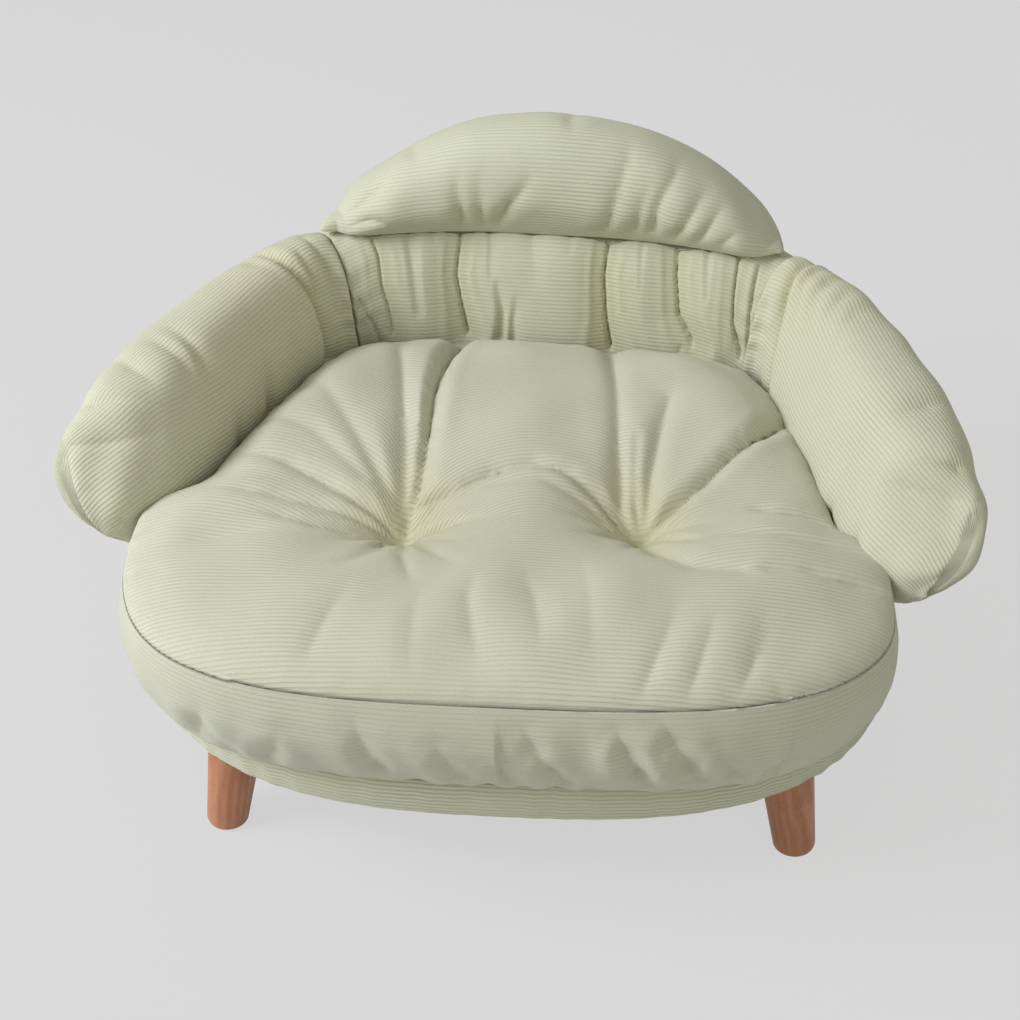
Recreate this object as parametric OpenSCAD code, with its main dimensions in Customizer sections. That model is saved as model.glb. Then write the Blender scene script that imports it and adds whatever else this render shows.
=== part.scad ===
// Sofa bed for a small dog: a padded board on four splayed wooden legs, with a stuffed shell of
// two arms, a lumbar roll and a head roll sewn round its back, and a loose tufted seat cushion.
// The floor is z = 0, the front faces -Y and the width runs along X.

/* [Platform] */
// Width of the seat platform over its cover
platform_w = 600; // [560:10:660]
// Depth of the seat platform over its cover
platform_d = 528; // [492:6:564]
// Thickness of the plywood board
board_t = 12; // [9:1:18]
// Thickness of the foam sheet glued on the board
foam_t = 18; // [12:1:26]
// Thickness of the corduroy cover pulled over board and foam
cover_t = 1.5; // [1:0.25:3]
// Width of the cover's hem, turned under the board
hem_w = 30; // [22:1:45]
// How far the seat cushion overhangs the platform in front
front_overhang = 31; // [20:1:45]
// How far the lumbar roll overhangs the platform behind
back_overhang = 17; // [8:1:30]

/* [Legs] */
// Clear height under the platform
leg_h = 76; // [55:1:110]
// Leg diameter where it meets the platform
leg_top_d = 42; // [36:1:48]
// Leg diameter at the foot
leg_foot_d = 33; // [28:1:36]
// Tilt of each leg, outwards to its corner
leg_splay = 12; // [0:1:15]
// Rounding of the foot's edge
foot_round = 9; // [4:1:11]
// How far the feet stand in from the platform's left and right edges
foot_inset_x = 79; // [68:1:96]
// How far the feet stand in from the platform's front and rear edges
foot_inset_y = 61; // [52:1:76]
// Diameter of the nail-on glide under each foot
glide_d = 22; // [16:1:24]
// Thickness of the glide's disc
glide_t = 2; // [1.5:0.25:3]

/* [Leg fixings] */
// Diameter of the hanger bolt in each leg
bolt_d = 8; // [6:1:8]
// Length of the hanger bolt inside the leg
bolt_in_leg = 32; // [24:1:40]
// Diameter of the tee nut's flange
nut_flange_d = 22; // [18:1:26]
// Thickness of the tee nut's flange
nut_flange_t = 1.5; // [1:0.25:2]
// Radial clearance between a bolt and its thread hole
bolt_clear = 0.05; // [0.03:0.01:0.1]

/* [Seat cushion] */
// How far the cushion's upper seam stands in from the platform's side, in front of the arms
cushion_inset = 15; // [10:1:30]
// Height of the cushion's upper seam above its underside
band_h = 97; // [70:1:120]
// How high the crown rises above the upper seam
crown_h = 33; // [20:1:50]
// Outward bulge of the band between its two seams
band_bulge = 6; // [0:1:12]
// How far the lower seam stands in from the upper seam
lower_in = 19; // [8:1:30]
// Distance between the two sewn tufts
tuft_span = 184; // [140:2:220]
// Depth of each tuft below the crown
tuft_depth = 40; // [20:1:50]
// Gap between the cushion and the shell behind it
cushion_gap = 7; // [4:1:12]
// Thickness of the quilted bottom panel
panel_t = 4; // [3.5:0.25:6]

/* [Seat zip] */
// Length of the zip across the bottom panel
zip_l = 280; // [200:10:300]
// Width of the zip's tape
zip_w = 26; // [20:1:32]
// Width of the row of teeth
teeth_w = 5; // [4:0.5:7]
// Length of the slider with its pull tab
slider_l = 30; // [22:1:36]

/* [Stuffed shell] */
// Thickness of the lumbar roll, front to back
roll_t = 90; // [76:1:104]
// Thickness of an arm at its fullest
arm_t = 94; // [84:1:112]
// Height of the seam between lumbar roll and head roll
joint_z = 302; // [290:1:335]
// Height of the arms' crest
arm_z = 298; // [280:1:330]
// How far an arm's crest leans out over its foot
arm_lean = 14; // [0:1:30]
// Thickness of the head roll, front to back
head_t = 86; // [70:1:100]
// Rise of the head roll over its seam
head_h = 99; // [70:1:130]
// Turn of the whole shell on the platform, as the sewn cover pulls it
shell_turn = 3.5; // [0:0.5:4]
// Depth of the lumbar roll's sewn tucks
tuck_depth = 13; // [0:1:18]

/* [Hidden] */
$fn = 64;
cut = 1;
soft_clear = 0.3;

// Colours as the photograph shows them
fabric_color = [0.80, 0.82, 0.70];
wood_color = [0.72, 0.46, 0.35];
lining_color = [0.20, 0.20, 0.21];

// Levels of the platform, from the floor up, and the places that follow from them
base_z = leg_h;
board_z = base_z + cover_t;
foam_z = board_z + board_t;
top_z = foam_z + foam_t + cover_t;
platform_y = (front_overhang - back_overhang) / 2;
front_y = platform_y - platform_d / 2 - front_overhang;
rear_y = platform_y + platform_d / 2 + back_overhang;
rim_power = 2.75;
rim_points = 72;

// Four corners, front left, front right, rear left and rear right, as signs along X and Y
CORNERS = [[-1, -1], [1, -1], [-1, 1], [1, 1]];
foot_span_x = platform_w - 2 * foot_inset_x;
foot_span_y = platform_d - 2 * foot_inset_y;
leg_lean = leg_h * tan(leg_splay);
corner_turn = atan2(foot_span_y, foot_span_x);
foot_steps = 8;

// Fixings inside the platform and legs
nut_barrel_r = bolt_d * 0.62;
flange_z = foam_z - nut_flange_t;
nail_r = glide_t * 0.6;
nail_l = glide_d * 0.55;
staple_w = hem_w * 0.34;
staple_t = cover_t * 0.5;
staple_leg = board_t * 0.5;
staple_count = 24;

// Shell: half the depth of its centre line, and that line's plan as shares of the platform's half
// width and of this depth, from the middle of the back to the front tip of an arm. Steps count
// the points along it: the arms are sewn on at seam_step and end at tip_step.
path_d = rear_y - platform_y - roll_t / 2;
PATH_SHARES = [[-0.35, 0.98], [0, 1], [0.35, 0.98], [0.635, 0.875], [0.80, 0.63],
               [0.90, 0.275], [0.965, -0.025], [1, -0.242], [1.01, -0.431], [1.015, -0.615]];
seam_step = 2;
tip_step = 7;

// Seat cushion: its underside, its seams and the plan of its outline, where spread_power sets
// how its points lie along the shell
cushion_z = top_z + soft_clear;
fill_z = cushion_z + panel_t;
upper_seam_z = cushion_z + band_h;
lower_seam_z = fill_z + panel_t / 2;
cushion_w = platform_w - 2 * cushion_inset;
well_y = rear_y - roll_t - cushion_gap;
seat_d = well_y - front_y;
front_power = 3.2;
front_turn_share = 0.7;
shoulder_run_share = 1.1;
spread_power = 1.3;
panel_in = lower_in * 1.6;
cushion_points = 64;
crown_rings = 14;

// The crown's powers and its fall to the back, and its tufts and furrows. Each furrow starts at
// tuft 0 or 1, runs by shares of the way to the back, and is a share of the crown deep.
crown_power = 3.4;
crown_fall_power = 0.55;
crown_ring_power = 1.35;
crown_back_share = 0.25;
seam_edge_share = 0.12;
tuft_y = front_y + seat_d * 0.39;
tuft_reach = tuft_span * 0.21;
tuft_power = 1.3;
tuft_sink_share = 0.45;
back_reach = well_y - tuft_y;
furrow_w = tuft_span * 0.15;
bow_share = 0.4;
TUFTS = [[-tuft_span / 2, tuft_y], [tuft_span / 2, tuft_y]];
BOW = [0, tuft_y + back_reach * 0.16];
HEART = [0, tuft_y - tuft_reach];
FURROW_SHARES = [[0, [0.08, 1], 0.34], [1, [0.42, 0.52], 0.36],
                 [0, [-0.55, 0.20], 0.30], [1, [0.60, -0.02], 0.36]];

// Seat zip, in its pocket in the bottom panel
tape_t = panel_t * 0.2;
teeth_t = panel_t * 0.25;
row_t = teeth_t / 2;
row_w = teeth_w / 2;
pocket_t = panel_t * 0.8;
tape_z = cushion_z + pocket_t - tape_t;
zip_y = well_y - seat_d * 0.22;
zip_stop = teeth_w;
slider_w = zip_w * 0.42;
slider_body_l = slider_l * 0.4;
slider_t = pocket_t - tape_t - 2 * soft_clear;
tab_t = slider_t * 0.4;

// Section of the shell's rolls, how they draw in to the seams between them,
// and how the arms rise, droop and round off to their tips
section_power = 2.3;
section_points = 24;
foot_share = 0.28;
sink_share = 0.05;
seam_run_share = 0.45;
seam_share = 0.14;
seam_dip = roll_t * 0.1;
cap_share = 0.26;
cap_power = 2.3;
tip_thick_share = 0.16;
rise_share = 0.46;
rise_start_share = 0.52;
droop_share = 0.16;
droop_start_share = 0.4;
arm_rings = 20;
cap_rings = 8;

// Lumbar roll's tucks, as shares of the way to its seams, and the head roll's length, crest and ends
TUCK_SHARES = [-0.78, -0.33, 0.16, 0.42, 0.80];
tuck_w_share = 0.055;
lumbar_rings = 44;
head_reach_share = 0.98;
head_power = 2.2;
head_fat_power = 4;
head_crest_share = -0.06;
head_end_share = 0.2;
head_sink_share = 0.13;
head_rings = 32;

// A smooth step from 0 to 1, a superellipse at the angle t, and a point turned clockwise in plan
function smooth(v) = let(c = min(max(v, 0), 1)) c * c * (3 - 2 * c);
function superellipse(a, b, n, t) =
    [a * cos(t), b * sin(t)] / pow(pow(abs(cos(t)), n) + pow(abs(sin(t)), n), 1 / n);
function turned(p, angle) = [p[0] * cos(angle) + p[1] * sin(angle), p[1] * cos(angle) - p[0] * sin(angle)];

// Faces of a closed skin over rings of m points, with a centre point before and after them
function skin_faces(rings, m) = let(last = rings * m + 1) concat(
    [for (j = [0:m - 1]) [0, 1 + (j + 1) % m, 1 + j]],
    [for (i = [0:rings - 2], j = [0:m - 1]) let(a = 1 + i * m + j, b = 1 + i * m + (j + 1) % m)
        each [[a, b, b + m], [a, b + m, a + m]]],
    [for (j = [0:m - 1]) let(a = 1 + (rings - 1) * m) [last, a + j, a + (j + 1) % m]]);
function middle(points) = [for (k = [0:2]) let(v = [for (p = points) p[k]]) (max(v) + min(v)) / 2];
module skin(rings) {
    m = len(rings[0]);
    points = concat([middle(rings[0])], [for (ring = rings) each ring], [middle(rings[len(rings) - 1])]);
    polyhedron(points, skin_faces(len(rings), m), convexity = 8);
}

// Plan of the platform, drawn in from its rim by a margin
module rim(margin) {
    translate([0, platform_y])
        polygon([for (i = [0:rim_points - 1])
            superellipse(platform_w / 2 - margin, platform_d / 2 - margin, rim_power, i * 360 / rim_points)]);
}

module at_corner(corner) {
    translate([corner[0] * foot_span_x / 2, platform_y + corner[1] * foot_span_y / 2]) children();
}

// Place of a leg's bolt: the top of the tilted leg lies nearer the middle than its foot
module at_bolt(corner) {
    reach = leg_lean * [cos(corner_turn), sin(corner_turn)];
    at_corner(corner) translate([-corner[0] * reach[0], -corner[1] * reach[1]]) children();
}

module platform_board() {
    color("burlywood") difference() {
        translate([0, 0, board_z]) linear_extrude(board_t) rim(cover_t);
        for (corner = CORNERS) at_bolt(corner) {
            translate([0, 0, board_z - cut]) cylinder(r = nut_barrel_r, h = board_t + 2 * cut);
            translate([0, 0, flange_z]) cylinder(d = nut_flange_d, h = nut_flange_t + cut);
        }
    }
}

module platform_foam() {
    color("khaki") translate([0, 0, foam_z]) linear_extrude(foam_t) rim(cover_t);
}

// The cover is open underneath, inside its hem
module platform_cover() {
    color(fabric_color) difference() {
        translate([0, 0, base_z]) linear_extrude(top_z - base_z) rim(0);
        translate([0, 0, board_z]) linear_extrude(board_t + foam_t) rim(cover_t);
        translate([0, 0, base_z - cut]) linear_extrude(cover_t + 2 * cut) rim(hem_w);
        for (corner = CORNERS) at_bolt(corner)
            translate([0, 0, base_z - cut]) cylinder(r = nut_barrel_r, h = cover_t + 2 * cut);
    }
}

module underside_cloth() {
    color(lining_color) difference() {
        translate([0, 0, base_z]) linear_extrude(cover_t) rim(hem_w);
        for (corner = CORNERS) at_bolt(corner)
            translate([0, 0, base_z - cut]) cylinder(r = nut_barrel_r, h = cover_t + 2 * cut);
    }
}

// Wire staples round the cloth's edge, each with its two legs driven into the board
module cloth_staples() {
    leg_x = (staple_w - staple_t) / 2;
    edge_x = platform_w / 2 - hem_w * 1.5;
    edge_y = platform_d / 2 - hem_w * 1.5;
    color("silver") for (i = [0:staple_count - 1]) {
        angle = (i + 0.5) * 360 / staple_count;
        place = superellipse(edge_x, edge_y, rim_power, angle) + [0, platform_y];
        translate([place[0], place[1], base_z - staple_t]) rotate(angle + 90) {
            translate([-staple_w / 2, -staple_t / 2, 0]) cube([staple_w, staple_t, staple_t]);
            for (side = [-1, 1])
                translate([side * leg_x - staple_t / 2, -staple_t / 2, staple_t])
                    cube([staple_t, staple_t, cover_t + staple_leg]);
        }
    }
}

// A turned, tapered leg with a rounded foot, tilted to its corner and cut level at both ends,
// so its blank is turned longer than it stands
module leg(corner) {
    tilted_l = leg_h / cos(leg_splay);
    spare_l = leg_top_d * sin(leg_splay);
    spare_foot = foot_round / 2;
    slope = (leg_top_d - leg_foot_d) / 2 / tilted_l;
    foot_r = leg_foot_d / 2 - slope * spare_foot;
    top_r = leg_top_d / 2 + slope * spare_l;
    arc = [for (i = [0:foot_steps]) let(a = -90 + i * 90 / foot_steps)
        [foot_r - foot_round + foot_round * cos(a), foot_round + foot_round * sin(a) - spare_foot]];
    blank = concat([[0, -spare_foot]], arc, [[top_r, tilted_l + spare_l], [0, tilted_l + spare_l]]);
    color(wood_color) difference() {
        intersection() {
            at_corner(corner)
                rotate([0, 0, atan2(corner[1] * foot_span_y, corner[0] * foot_span_x)])
                    rotate([0, -leg_splay, 0]) rotate_extrude() polygon(blank);
            at_corner(corner)
                translate([-leg_h, -leg_h, glide_t]) cube([2 * leg_h, 2 * leg_h, leg_h - glide_t]);
        }
        at_corner(corner) translate([0, 0, glide_t - cut]) cylinder(r = nail_r, h = nail_l + cut);
        at_bolt(corner) translate([0, 0, base_z - bolt_in_leg])
            cylinder(r = bolt_d / 2 + bolt_clear, h = bolt_in_leg + cut);
    }
}

// Nail-on glide: a domed plastic disc on a steel nail, drawn as one piece
module glide(corner) {
    color("dimgray") at_corner(corner) {
        cylinder(d = glide_d, h = glide_t);
        translate([0, 0, glide_t]) cylinder(r = nail_r, h = nail_l);
    }
}

module hanger_bolts() {
    color("silver") for (corner = CORNERS) at_bolt(corner)
        translate([0, 0, base_z - bolt_in_leg]) cylinder(d = bolt_d, h = bolt_in_leg + foam_z - base_z);
}

// Pronged nuts let into the top of the board, so that the foam lies flat over them
module tee_nuts() {
    color("silver") for (corner = CORNERS) at_bolt(corner) difference() {
        union() {
            translate([0, 0, board_z]) cylinder(r = nut_barrel_r, h = flange_z - board_z);
            translate([0, 0, flange_z]) cylinder(d = nut_flange_d, h = nut_flange_t);
        }
        translate([0, 0, board_z - cut]) cylinder(r = bolt_d / 2 + bolt_clear, h = board_t + 2 * cut);
    }
}

// Plan of the seat cushion at its upper seam: a broad, square front from side to side of the
// platform, and behind the arms' tips a shoulder that draws it in to the inside of the shell,
// which it follows at a gap. The front turns back from the shell's own turn to none.
function well_point(step) =
    path_point(step) - (shell_t(step) / 2 + cushion_gap) * path_normal(step);
function front_plan(t) = let(
        shoulder = well_point(tip_step),
        reach = platform_y + shoulder[1] - front_y,
        p = superellipse(cushion_w / 2, reach - band_bulge, front_power, t))
    turned([p[0], shoulder[1] + p[1]], shell_turn * smooth(1 + p[1] / reach / front_turn_share));
function back_plan(t) = let(
        turn_share = 1 - t / 90,
        step = tip_step * sign(turn_share) * pow(abs(turn_share), spread_power),
        p = well_point(step),
        spread = 1 - smooth((tip_step - abs(step)) / shoulder_run_share))
    turned([p[0] + sign(step) * (cushion_w / 2 - abs(p[0])) * spread, p[1]], shell_turn);
function cushion_plan(t) = (t >= 0 && t <= 180 ? back_plan(t) : front_plan(t)) + [0, platform_y];

// The cushion's plan moved out square to its outline, for t from 0 to 360
function cushion_offset(t, out) = let(
        small = 360 / cushion_points / 4,
        along = cushion_plan((t + small) % 360) - cushion_plan((t + 360 - small) % 360),
        normal = [along[1], -along[0]] / norm(along))
    cushion_plan(t) + out * normal;

// A soft furrow along the straight line between two places, by the distance of p from that line
function furrow(p, a, b, depth) = let(
        share = min(max((p - a) * (b - a) / ((b - a) * (b - a)), 0), 1))
    depth * exp(-pow(norm(p - a - share * (b - a)) / furrow_w, 2));

// Top of the cushion: a crown that falls steeply to the seam, two sewn tufts,
// and the furrows that the stitches pull to each other, to the back and to the sides
function tuft_dip(p, tuft) = tuft_depth * exp(-pow(norm(p - tuft) / tuft_reach, tuft_power));
function crown_z(p, share) = let(
        behind = smooth((p[1] - tuft_y) / back_reach),
        rise = crown_h * pow(1 - pow(share, crown_power), crown_fall_power) * (1 - crown_back_share * behind),
        dip = max([for (tuft = TUFTS) tuft_dip(p, tuft)]),
        bow = max([for (tuft = TUFTS) furrow(p, tuft, BOW, crown_h * bow_share)]),
        runs = max([for (f = FURROW_SHARES)
            furrow(p, TUFTS[f[0]], TUFTS[f[0]] + f[1] * back_reach, crown_h * f[2])]),
        fall = min(dip + max(bow, runs), rise + crown_h * tuft_sink_share))
    upper_seam_z + rise - fall * smooth((1 - share) / seam_edge_share);

module seat_cushion() {
    angles = [for (j = [1:cushion_points]) 360 - j * 360 / cushion_points];
    side_h = upper_seam_z - lower_seam_z;
    // Each level of the side: how far it stands out from the upper seam, and its height
    levels = [[-panel_in, fill_z], [-lower_in, lower_seam_z],
              [-lower_in * 0.35 + band_bulge * 0.6, lower_seam_z + side_h / 3],
              [band_bulge, lower_seam_z + side_h * 0.6], [band_bulge * 0.7, upper_seam_z - band_bulge],
              [0, upper_seam_z]];
    sides = [for (level = levels) [for (t = angles) concat(cushion_offset(t, level[0]), level[1])]];
    crown = [for (i = [1:crown_rings - 1]) let(share = 1 - pow(i / crown_rings, crown_ring_power))
        [for (t = angles) let(p = HEART + (cushion_plan(t) - HEART) * share) concat(p, crown_z(p, share))]];
    color(fabric_color) skin(concat(sides, crown));
}

// Plan of the flat bottom panel, just inside the lower seam
module panel_plan() {
    polygon([for (j = [0:cushion_points - 1]) cushion_offset(j * 360 / cushion_points, -panel_in)]);
}

// Quilted, non-slip panel with a pocket along the zip
module cushion_bottom_panel() {
    color([0.55, 0.56, 0.52]) difference() {
        translate([0, 0, cushion_z]) linear_extrude(panel_t) panel_plan();
        translate([-zip_l / 2 - soft_clear, zip_y - zip_w / 2 - soft_clear, cushion_z - cut])
            cube([zip_l + 2 * soft_clear, zip_w + 2 * soft_clear, pocket_t + cut]);
    }
}

module seat_zip_tape() {
    color(fabric_color) translate([-zip_l / 2, zip_y - zip_w / 2, tape_z]) cube([zip_l, zip_w, tape_t]);
}

// The closed row of teeth along the tape, with an end stop at each end
module seat_zip_teeth() {
    color("gainsboro") {
        for (stop_x = [-zip_l / 2, zip_l / 2 - zip_stop])
            translate([stop_x, zip_y - teeth_w / 2, tape_z - teeth_t]) cube([zip_stop, teeth_w, teeth_t]);
        translate([-zip_l / 2 + zip_stop, zip_y - row_w / 2, tape_z - row_t])
            cube([zip_l - 2 * zip_stop, row_w, row_t]);
    }
}

// Cast slider that clasps the row of teeth, with its pull tab folded flat along the zip,
// parked at the left end stop
module seat_zip_slider() {
    tab_w = slider_w * 0.66;
    tab_end = slider_l - tab_w / 2;
    color("silver") translate([-zip_l / 2 + zip_stop + soft_clear, zip_y, cushion_z + soft_clear]) {
        difference() {
            translate([0, -slider_w / 2, 0]) cube([slider_body_l, slider_w, slider_t]);
            translate([-cut, -row_w / 2 - soft_clear, slider_t - row_t])
                cube([slider_body_l + 2 * cut, row_w + 2 * soft_clear, row_t + cut]);
        }
        linear_extrude(tab_t) difference() {
            union() {
                translate([slider_body_l, -tab_w / 2]) square([tab_end - slider_body_l, tab_w]);
                translate([tab_end, 0]) circle(tab_w / 2);
            }
            translate([tab_end, 0]) circle(tab_w / 4);
        }
    }
}

// Catmull-Rom curve through the path's shares; step 0 is the middle of the back
function path_share(step) = let(
        i = min(max(floor(step), 0), len(PATH_SHARES) - 4),
        f = step - i,
        a = PATH_SHARES[i],
        b = PATH_SHARES[i + 1],
        c = PATH_SHARES[i + 2],
        d = PATH_SHARES[i + 3])
    (2 * b + (c - a) * f + (2 * a - 5 * b + 4 * c - d) * f * f + (3 * b - a - 3 * c + d) * f * f * f) / 2;
function path_point(step) = let(s = path_share(abs(step)))
    [sign(step) * s[0] * platform_w / 2, s[1] * path_d];
function path_normal(step) = let(
        small = 0.02,
        along = path_point(step + small) - path_point(step - small))
    [-along[1], along[0]] / norm(along);

// Thickness of the shell: a roll behind, swelling to the arm's full thickness
function arm_share(step) = (abs(step) - seam_step) / (tip_step - seam_step);
function shell_t(step) = roll_t + (arm_t - roll_t) * smooth(arm_share(step) * 2.5);

// One ring of the shell round its centre line: a superellipse of a half thickness between two
// heights, narrower at its foot, leaning out with its height, and cut level at a floor and a lid.
// Side -1 draws it on the other side of the shell, before the shell is turned.
function shell_ring(step, half_t, low_z, high_z, lean, floor_z, lid_z, tuck = 0, side = 1) = let(
        centre = path_point(step),
        normal = path_normal(step))
    [for (j = [0:section_points - 1]) let(
            s = superellipse(1, 1, section_power, -90 - side * j * 360 / section_points),
            z = (low_z + high_z) / 2 + (high_z - low_z) / 2 * s[1],
            front = s[0] < 0 ? tuck * min(1, -s[0] * 1.5) : 0,
            body = half_t * s[0] * (1 - foot_share * smooth(-s[1])),
            q = centre + (body + front + lean * (z - floor_z) / (high_z - floor_z)) * normal,
            p = turned([side * q[0], q[1]], shell_turn))
        [p[0], p[1] + platform_y, min(max(z, floor_z), lid_z)]];

// How far a roll has drawn in at a distance from its seam: 1 at the seam, 0 past it
function seam_draw(distance) = 1 - smooth(distance / seam_run_share);

// An arm: full and upright behind, then its underside rises clear of the platform's edge,
// its crest falls, and its end rounds off
function arm_ring(step, side) = let(
        share = arm_share(step),
        cap = max((share - 1) / cap_share + 1, 0),
        draw = seam_draw(step - seam_step),
        round_share = tip_thick_share + (1 - tip_thick_share) * pow(1 - pow(cap, cap_power), 0.5),
        arm_h = arm_z - top_z,
        low_z = top_z - arm_h * sink_share + arm_h * rise_share * smooth((share - rise_start_share) * 2),
        droop = sink_share + droop_share * smooth(cap),
        crest_z = joint_z + (arm_z - joint_z) * smooth(share * 3) - seam_dip * draw
            - arm_h * droop * smooth((share - droop_start_share) / (1 - droop_start_share)))
    shell_ring(step, shell_t(step) / 2 * round_share * (1 - seam_share * draw), low_z, crest_z,
        arm_lean * smooth(share * 1.5), top_z, crest_z, side = side);
function arm_steps() = let(cap_step = tip_step - (tip_step - seam_step) * cap_share) concat(
    [for (i = [0:arm_rings - 1]) seam_step + (cap_step - seam_step) * i / arm_rings],
    [for (i = [0:cap_rings]) cap_step + (tip_step - cap_step) * sin(i * 90 / cap_rings)]);
module arm(side) {
    color(fabric_color) skin([for (step = arm_steps()) arm_ring(step, side)]);
}

// Lumbar roll, with tucks sewn into its front face
function tuck_at(step) =
    max([for (share = TUCK_SHARES) exp(-pow((step / seam_step - share) / tuck_w_share, 2))]);
function lumbar_ring(step) = let(draw = seam_draw(seam_step - abs(step)))
    shell_ring(step, roll_t / 2 * (1 - seam_share * draw), top_z - (joint_z - top_z) * sink_share,
        joint_z + (joint_z - top_z) * sink_share - (seam_dip + (joint_z - top_z) * sink_share) * draw,
        0, top_z, joint_z, tuck_depth * tuck_at(step));
module lumbar_roll() {
    color(fabric_color)
        skin([for (i = [0:lumbar_rings]) lumbar_ring(seam_step * (2 * i / lumbar_rings - 1))]);
}

// Head roll: a half-moon pillow that stands on the lumbar roll and dies out to both ends,
// with its crest a little to one side
function head_ring(share) = let(
        rise = 1 - pow(abs(share - head_crest_share * (1 - share * share)), head_power),
        fat = head_end_share + (1 - head_end_share) * pow(1 - pow(abs(share), head_fat_power), 0.5))
    shell_ring(share * seam_step * head_reach_share, head_t / 2 * fat, joint_z - head_h * head_sink_share,
        joint_z + head_h * (head_sink_share + (1 - head_sink_share) * rise), 0, joint_z, joint_z + head_h);
module head_roll() {
    color(fabric_color) skin([for (i = [0:head_rings]) head_ring(sin(180 * i / head_rings - 90))]);
}

platform_board();
platform_foam();
platform_cover();
underside_cloth();
cloth_staples();
leg(CORNERS[0]);  // leg_front_left
leg(CORNERS[1]);  // leg_front_right
leg(CORNERS[2]);  // leg_rear_left
leg(CORNERS[3]);  // leg_rear_right
glide(CORNERS[0]);  // glide_front_left
glide(CORNERS[1]);  // glide_front_right
glide(CORNERS[2]);  // glide_rear_left
glide(CORNERS[3]);  // glide_rear_right
hanger_bolts();
tee_nuts();
seat_cushion();
cushion_bottom_panel();
seat_zip_tape();
seat_zip_teeth();
seat_zip_slider();
arm(-1);  // left_arm
arm(1);  // right_arm
lumbar_roll();
head_roll();
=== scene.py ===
"""A small dog's sofa bed in pale green corduroy: a tufted seat cushion between two bolster arms,
a lumbar roll and a head roll, on a covered platform with four splayed wooden legs."""
import math

import bmesh
import bpy
import numpy as np
from mathutils import Matrix


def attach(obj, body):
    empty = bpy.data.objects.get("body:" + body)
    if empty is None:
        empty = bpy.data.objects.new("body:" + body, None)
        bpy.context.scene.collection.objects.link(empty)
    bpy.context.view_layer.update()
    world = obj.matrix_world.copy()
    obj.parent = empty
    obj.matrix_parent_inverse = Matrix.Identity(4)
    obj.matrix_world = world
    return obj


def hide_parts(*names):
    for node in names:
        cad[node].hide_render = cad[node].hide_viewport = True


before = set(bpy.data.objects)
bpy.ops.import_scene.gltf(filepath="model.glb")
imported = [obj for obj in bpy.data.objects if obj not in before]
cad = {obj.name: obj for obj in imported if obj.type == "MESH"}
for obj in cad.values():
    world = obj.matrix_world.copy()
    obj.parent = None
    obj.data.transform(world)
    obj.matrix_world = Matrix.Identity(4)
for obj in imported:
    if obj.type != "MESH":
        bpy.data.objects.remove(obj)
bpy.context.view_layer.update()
MM = 0.001

# The photographer's camera

# A longish lens a little to the left of the middle, looking down on the bed from standing height,
# and turned by a trace of roll.
CAMERA_TURN, CAMERA_TILT, CAMERA_ROLL = (math.radians(a) for a in (4.5, 36.0, -0.6))
CAMERA_AIM, CAMERA_REACH = np.array([-9.0, -30.0, 187.8]), 1424.5
FOCAL_PIXELS, PHOTO_PIXELS, SENSOR_W = 1800.0, 1020.0, 36.0


def camera_axes(turn, tilt, roll):
    """Right, up and forward of a camera turned round Z, tilted down and then rolled about its view."""
    forward = np.array([-math.sin(turn) * math.cos(tilt), math.cos(turn) * math.cos(tilt), -math.sin(tilt)])
    right = np.array([math.cos(turn), math.sin(turn), 0.0])
    up = np.cross(right, forward)
    return (math.cos(roll) * right + math.sin(roll) * up,
            math.cos(roll) * up - math.sin(roll) * right, forward)


def put_in_scene(name, data):
    """A new object that shows the data, at the origin."""
    made = bpy.data.objects.new(name, data)
    bpy.context.scene.collection.objects.link(made)
    return made


def stand(made, across, up, back, where):
    """Turns an object to three axes and sets it at a place in metres."""
    place = np.eye(4)
    place[:3] = np.stack([across, up, back, where], 1)
    made.matrix_world = Matrix(place.tolist())


view_right, view_up, view_forward = camera_axes(CAMERA_TURN, CAMERA_TILT, CAMERA_ROLL)
camera_data = bpy.data.cameras.new("photo_camera")
camera_data.sensor_width = SENSOR_W
camera_data.lens = SENSOR_W * FOCAL_PIXELS / PHOTO_PIXELS
camera = put_in_scene("photo_camera", camera_data)
stand(camera, view_right, view_up, -view_forward, (CAMERA_AIM - view_forward * CAMERA_REACH) * MM)
bpy.context.scene.camera = camera

# Platform cover

# The same corduroy as the cushion, cut as a lid and a rim band, pulled over the foamed board and
# stapled under it. Its ribs run round the rim, and it puckers where the band is eased round corners.
PLATFORM_W, PLATFORM_D, PLATFORM_Y = 600.0, 528.0, 7.0
RIM_POWER, RIM_LOW, RIM_TOP, COVER_T, HEM_W = 2.75, 76.0, 109.0, 1.5, 30.0
RIM_STEPS, RIM_BULGE, FACE_START, FACE_H, PUCKER_H = 720, 1.3, 1.2, 30.5, 1.3
LID_SHARES, COVER_FILL = np.array([0.85, 0.65, 0.45, 0.25, 0.1]), 0.95
RIB_PITCH = 3.7
# The valley colour is painted shade: darker and greener than the ribs, for the shade between them
RIB_COLOR, SHADED_VALLEY_COLOR = (0.60, 0.60, 0.455), (0.40, 0.415, 0.275)


def smooth(value):
    """0 below 0, 1 above 1 and an even S between them."""
    c = np.clip(value, 0, 1)
    return c * c * (3 - 2 * c)


def superellipse(half_x, half_y, power, angle):
    """Point at that angle on |x/a|^n + |y/b|^n = 1."""
    c, s = np.cos(angle), np.sin(angle)
    k = (np.abs(c) ** power + np.abs(s) ** power) ** (1 / power)
    return np.stack([half_x * c / k, half_y * s / k], -1)


def lengths(points, axis=0):
    """Running length along an axis of a grid of points, from 0."""
    steps = np.linalg.norm(np.diff(points, axis=axis), axis=-1)
    start = np.zeros_like(np.take(steps, [0], axis))
    return np.concatenate([start, np.cumsum(steps, axis)], axis)


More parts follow.
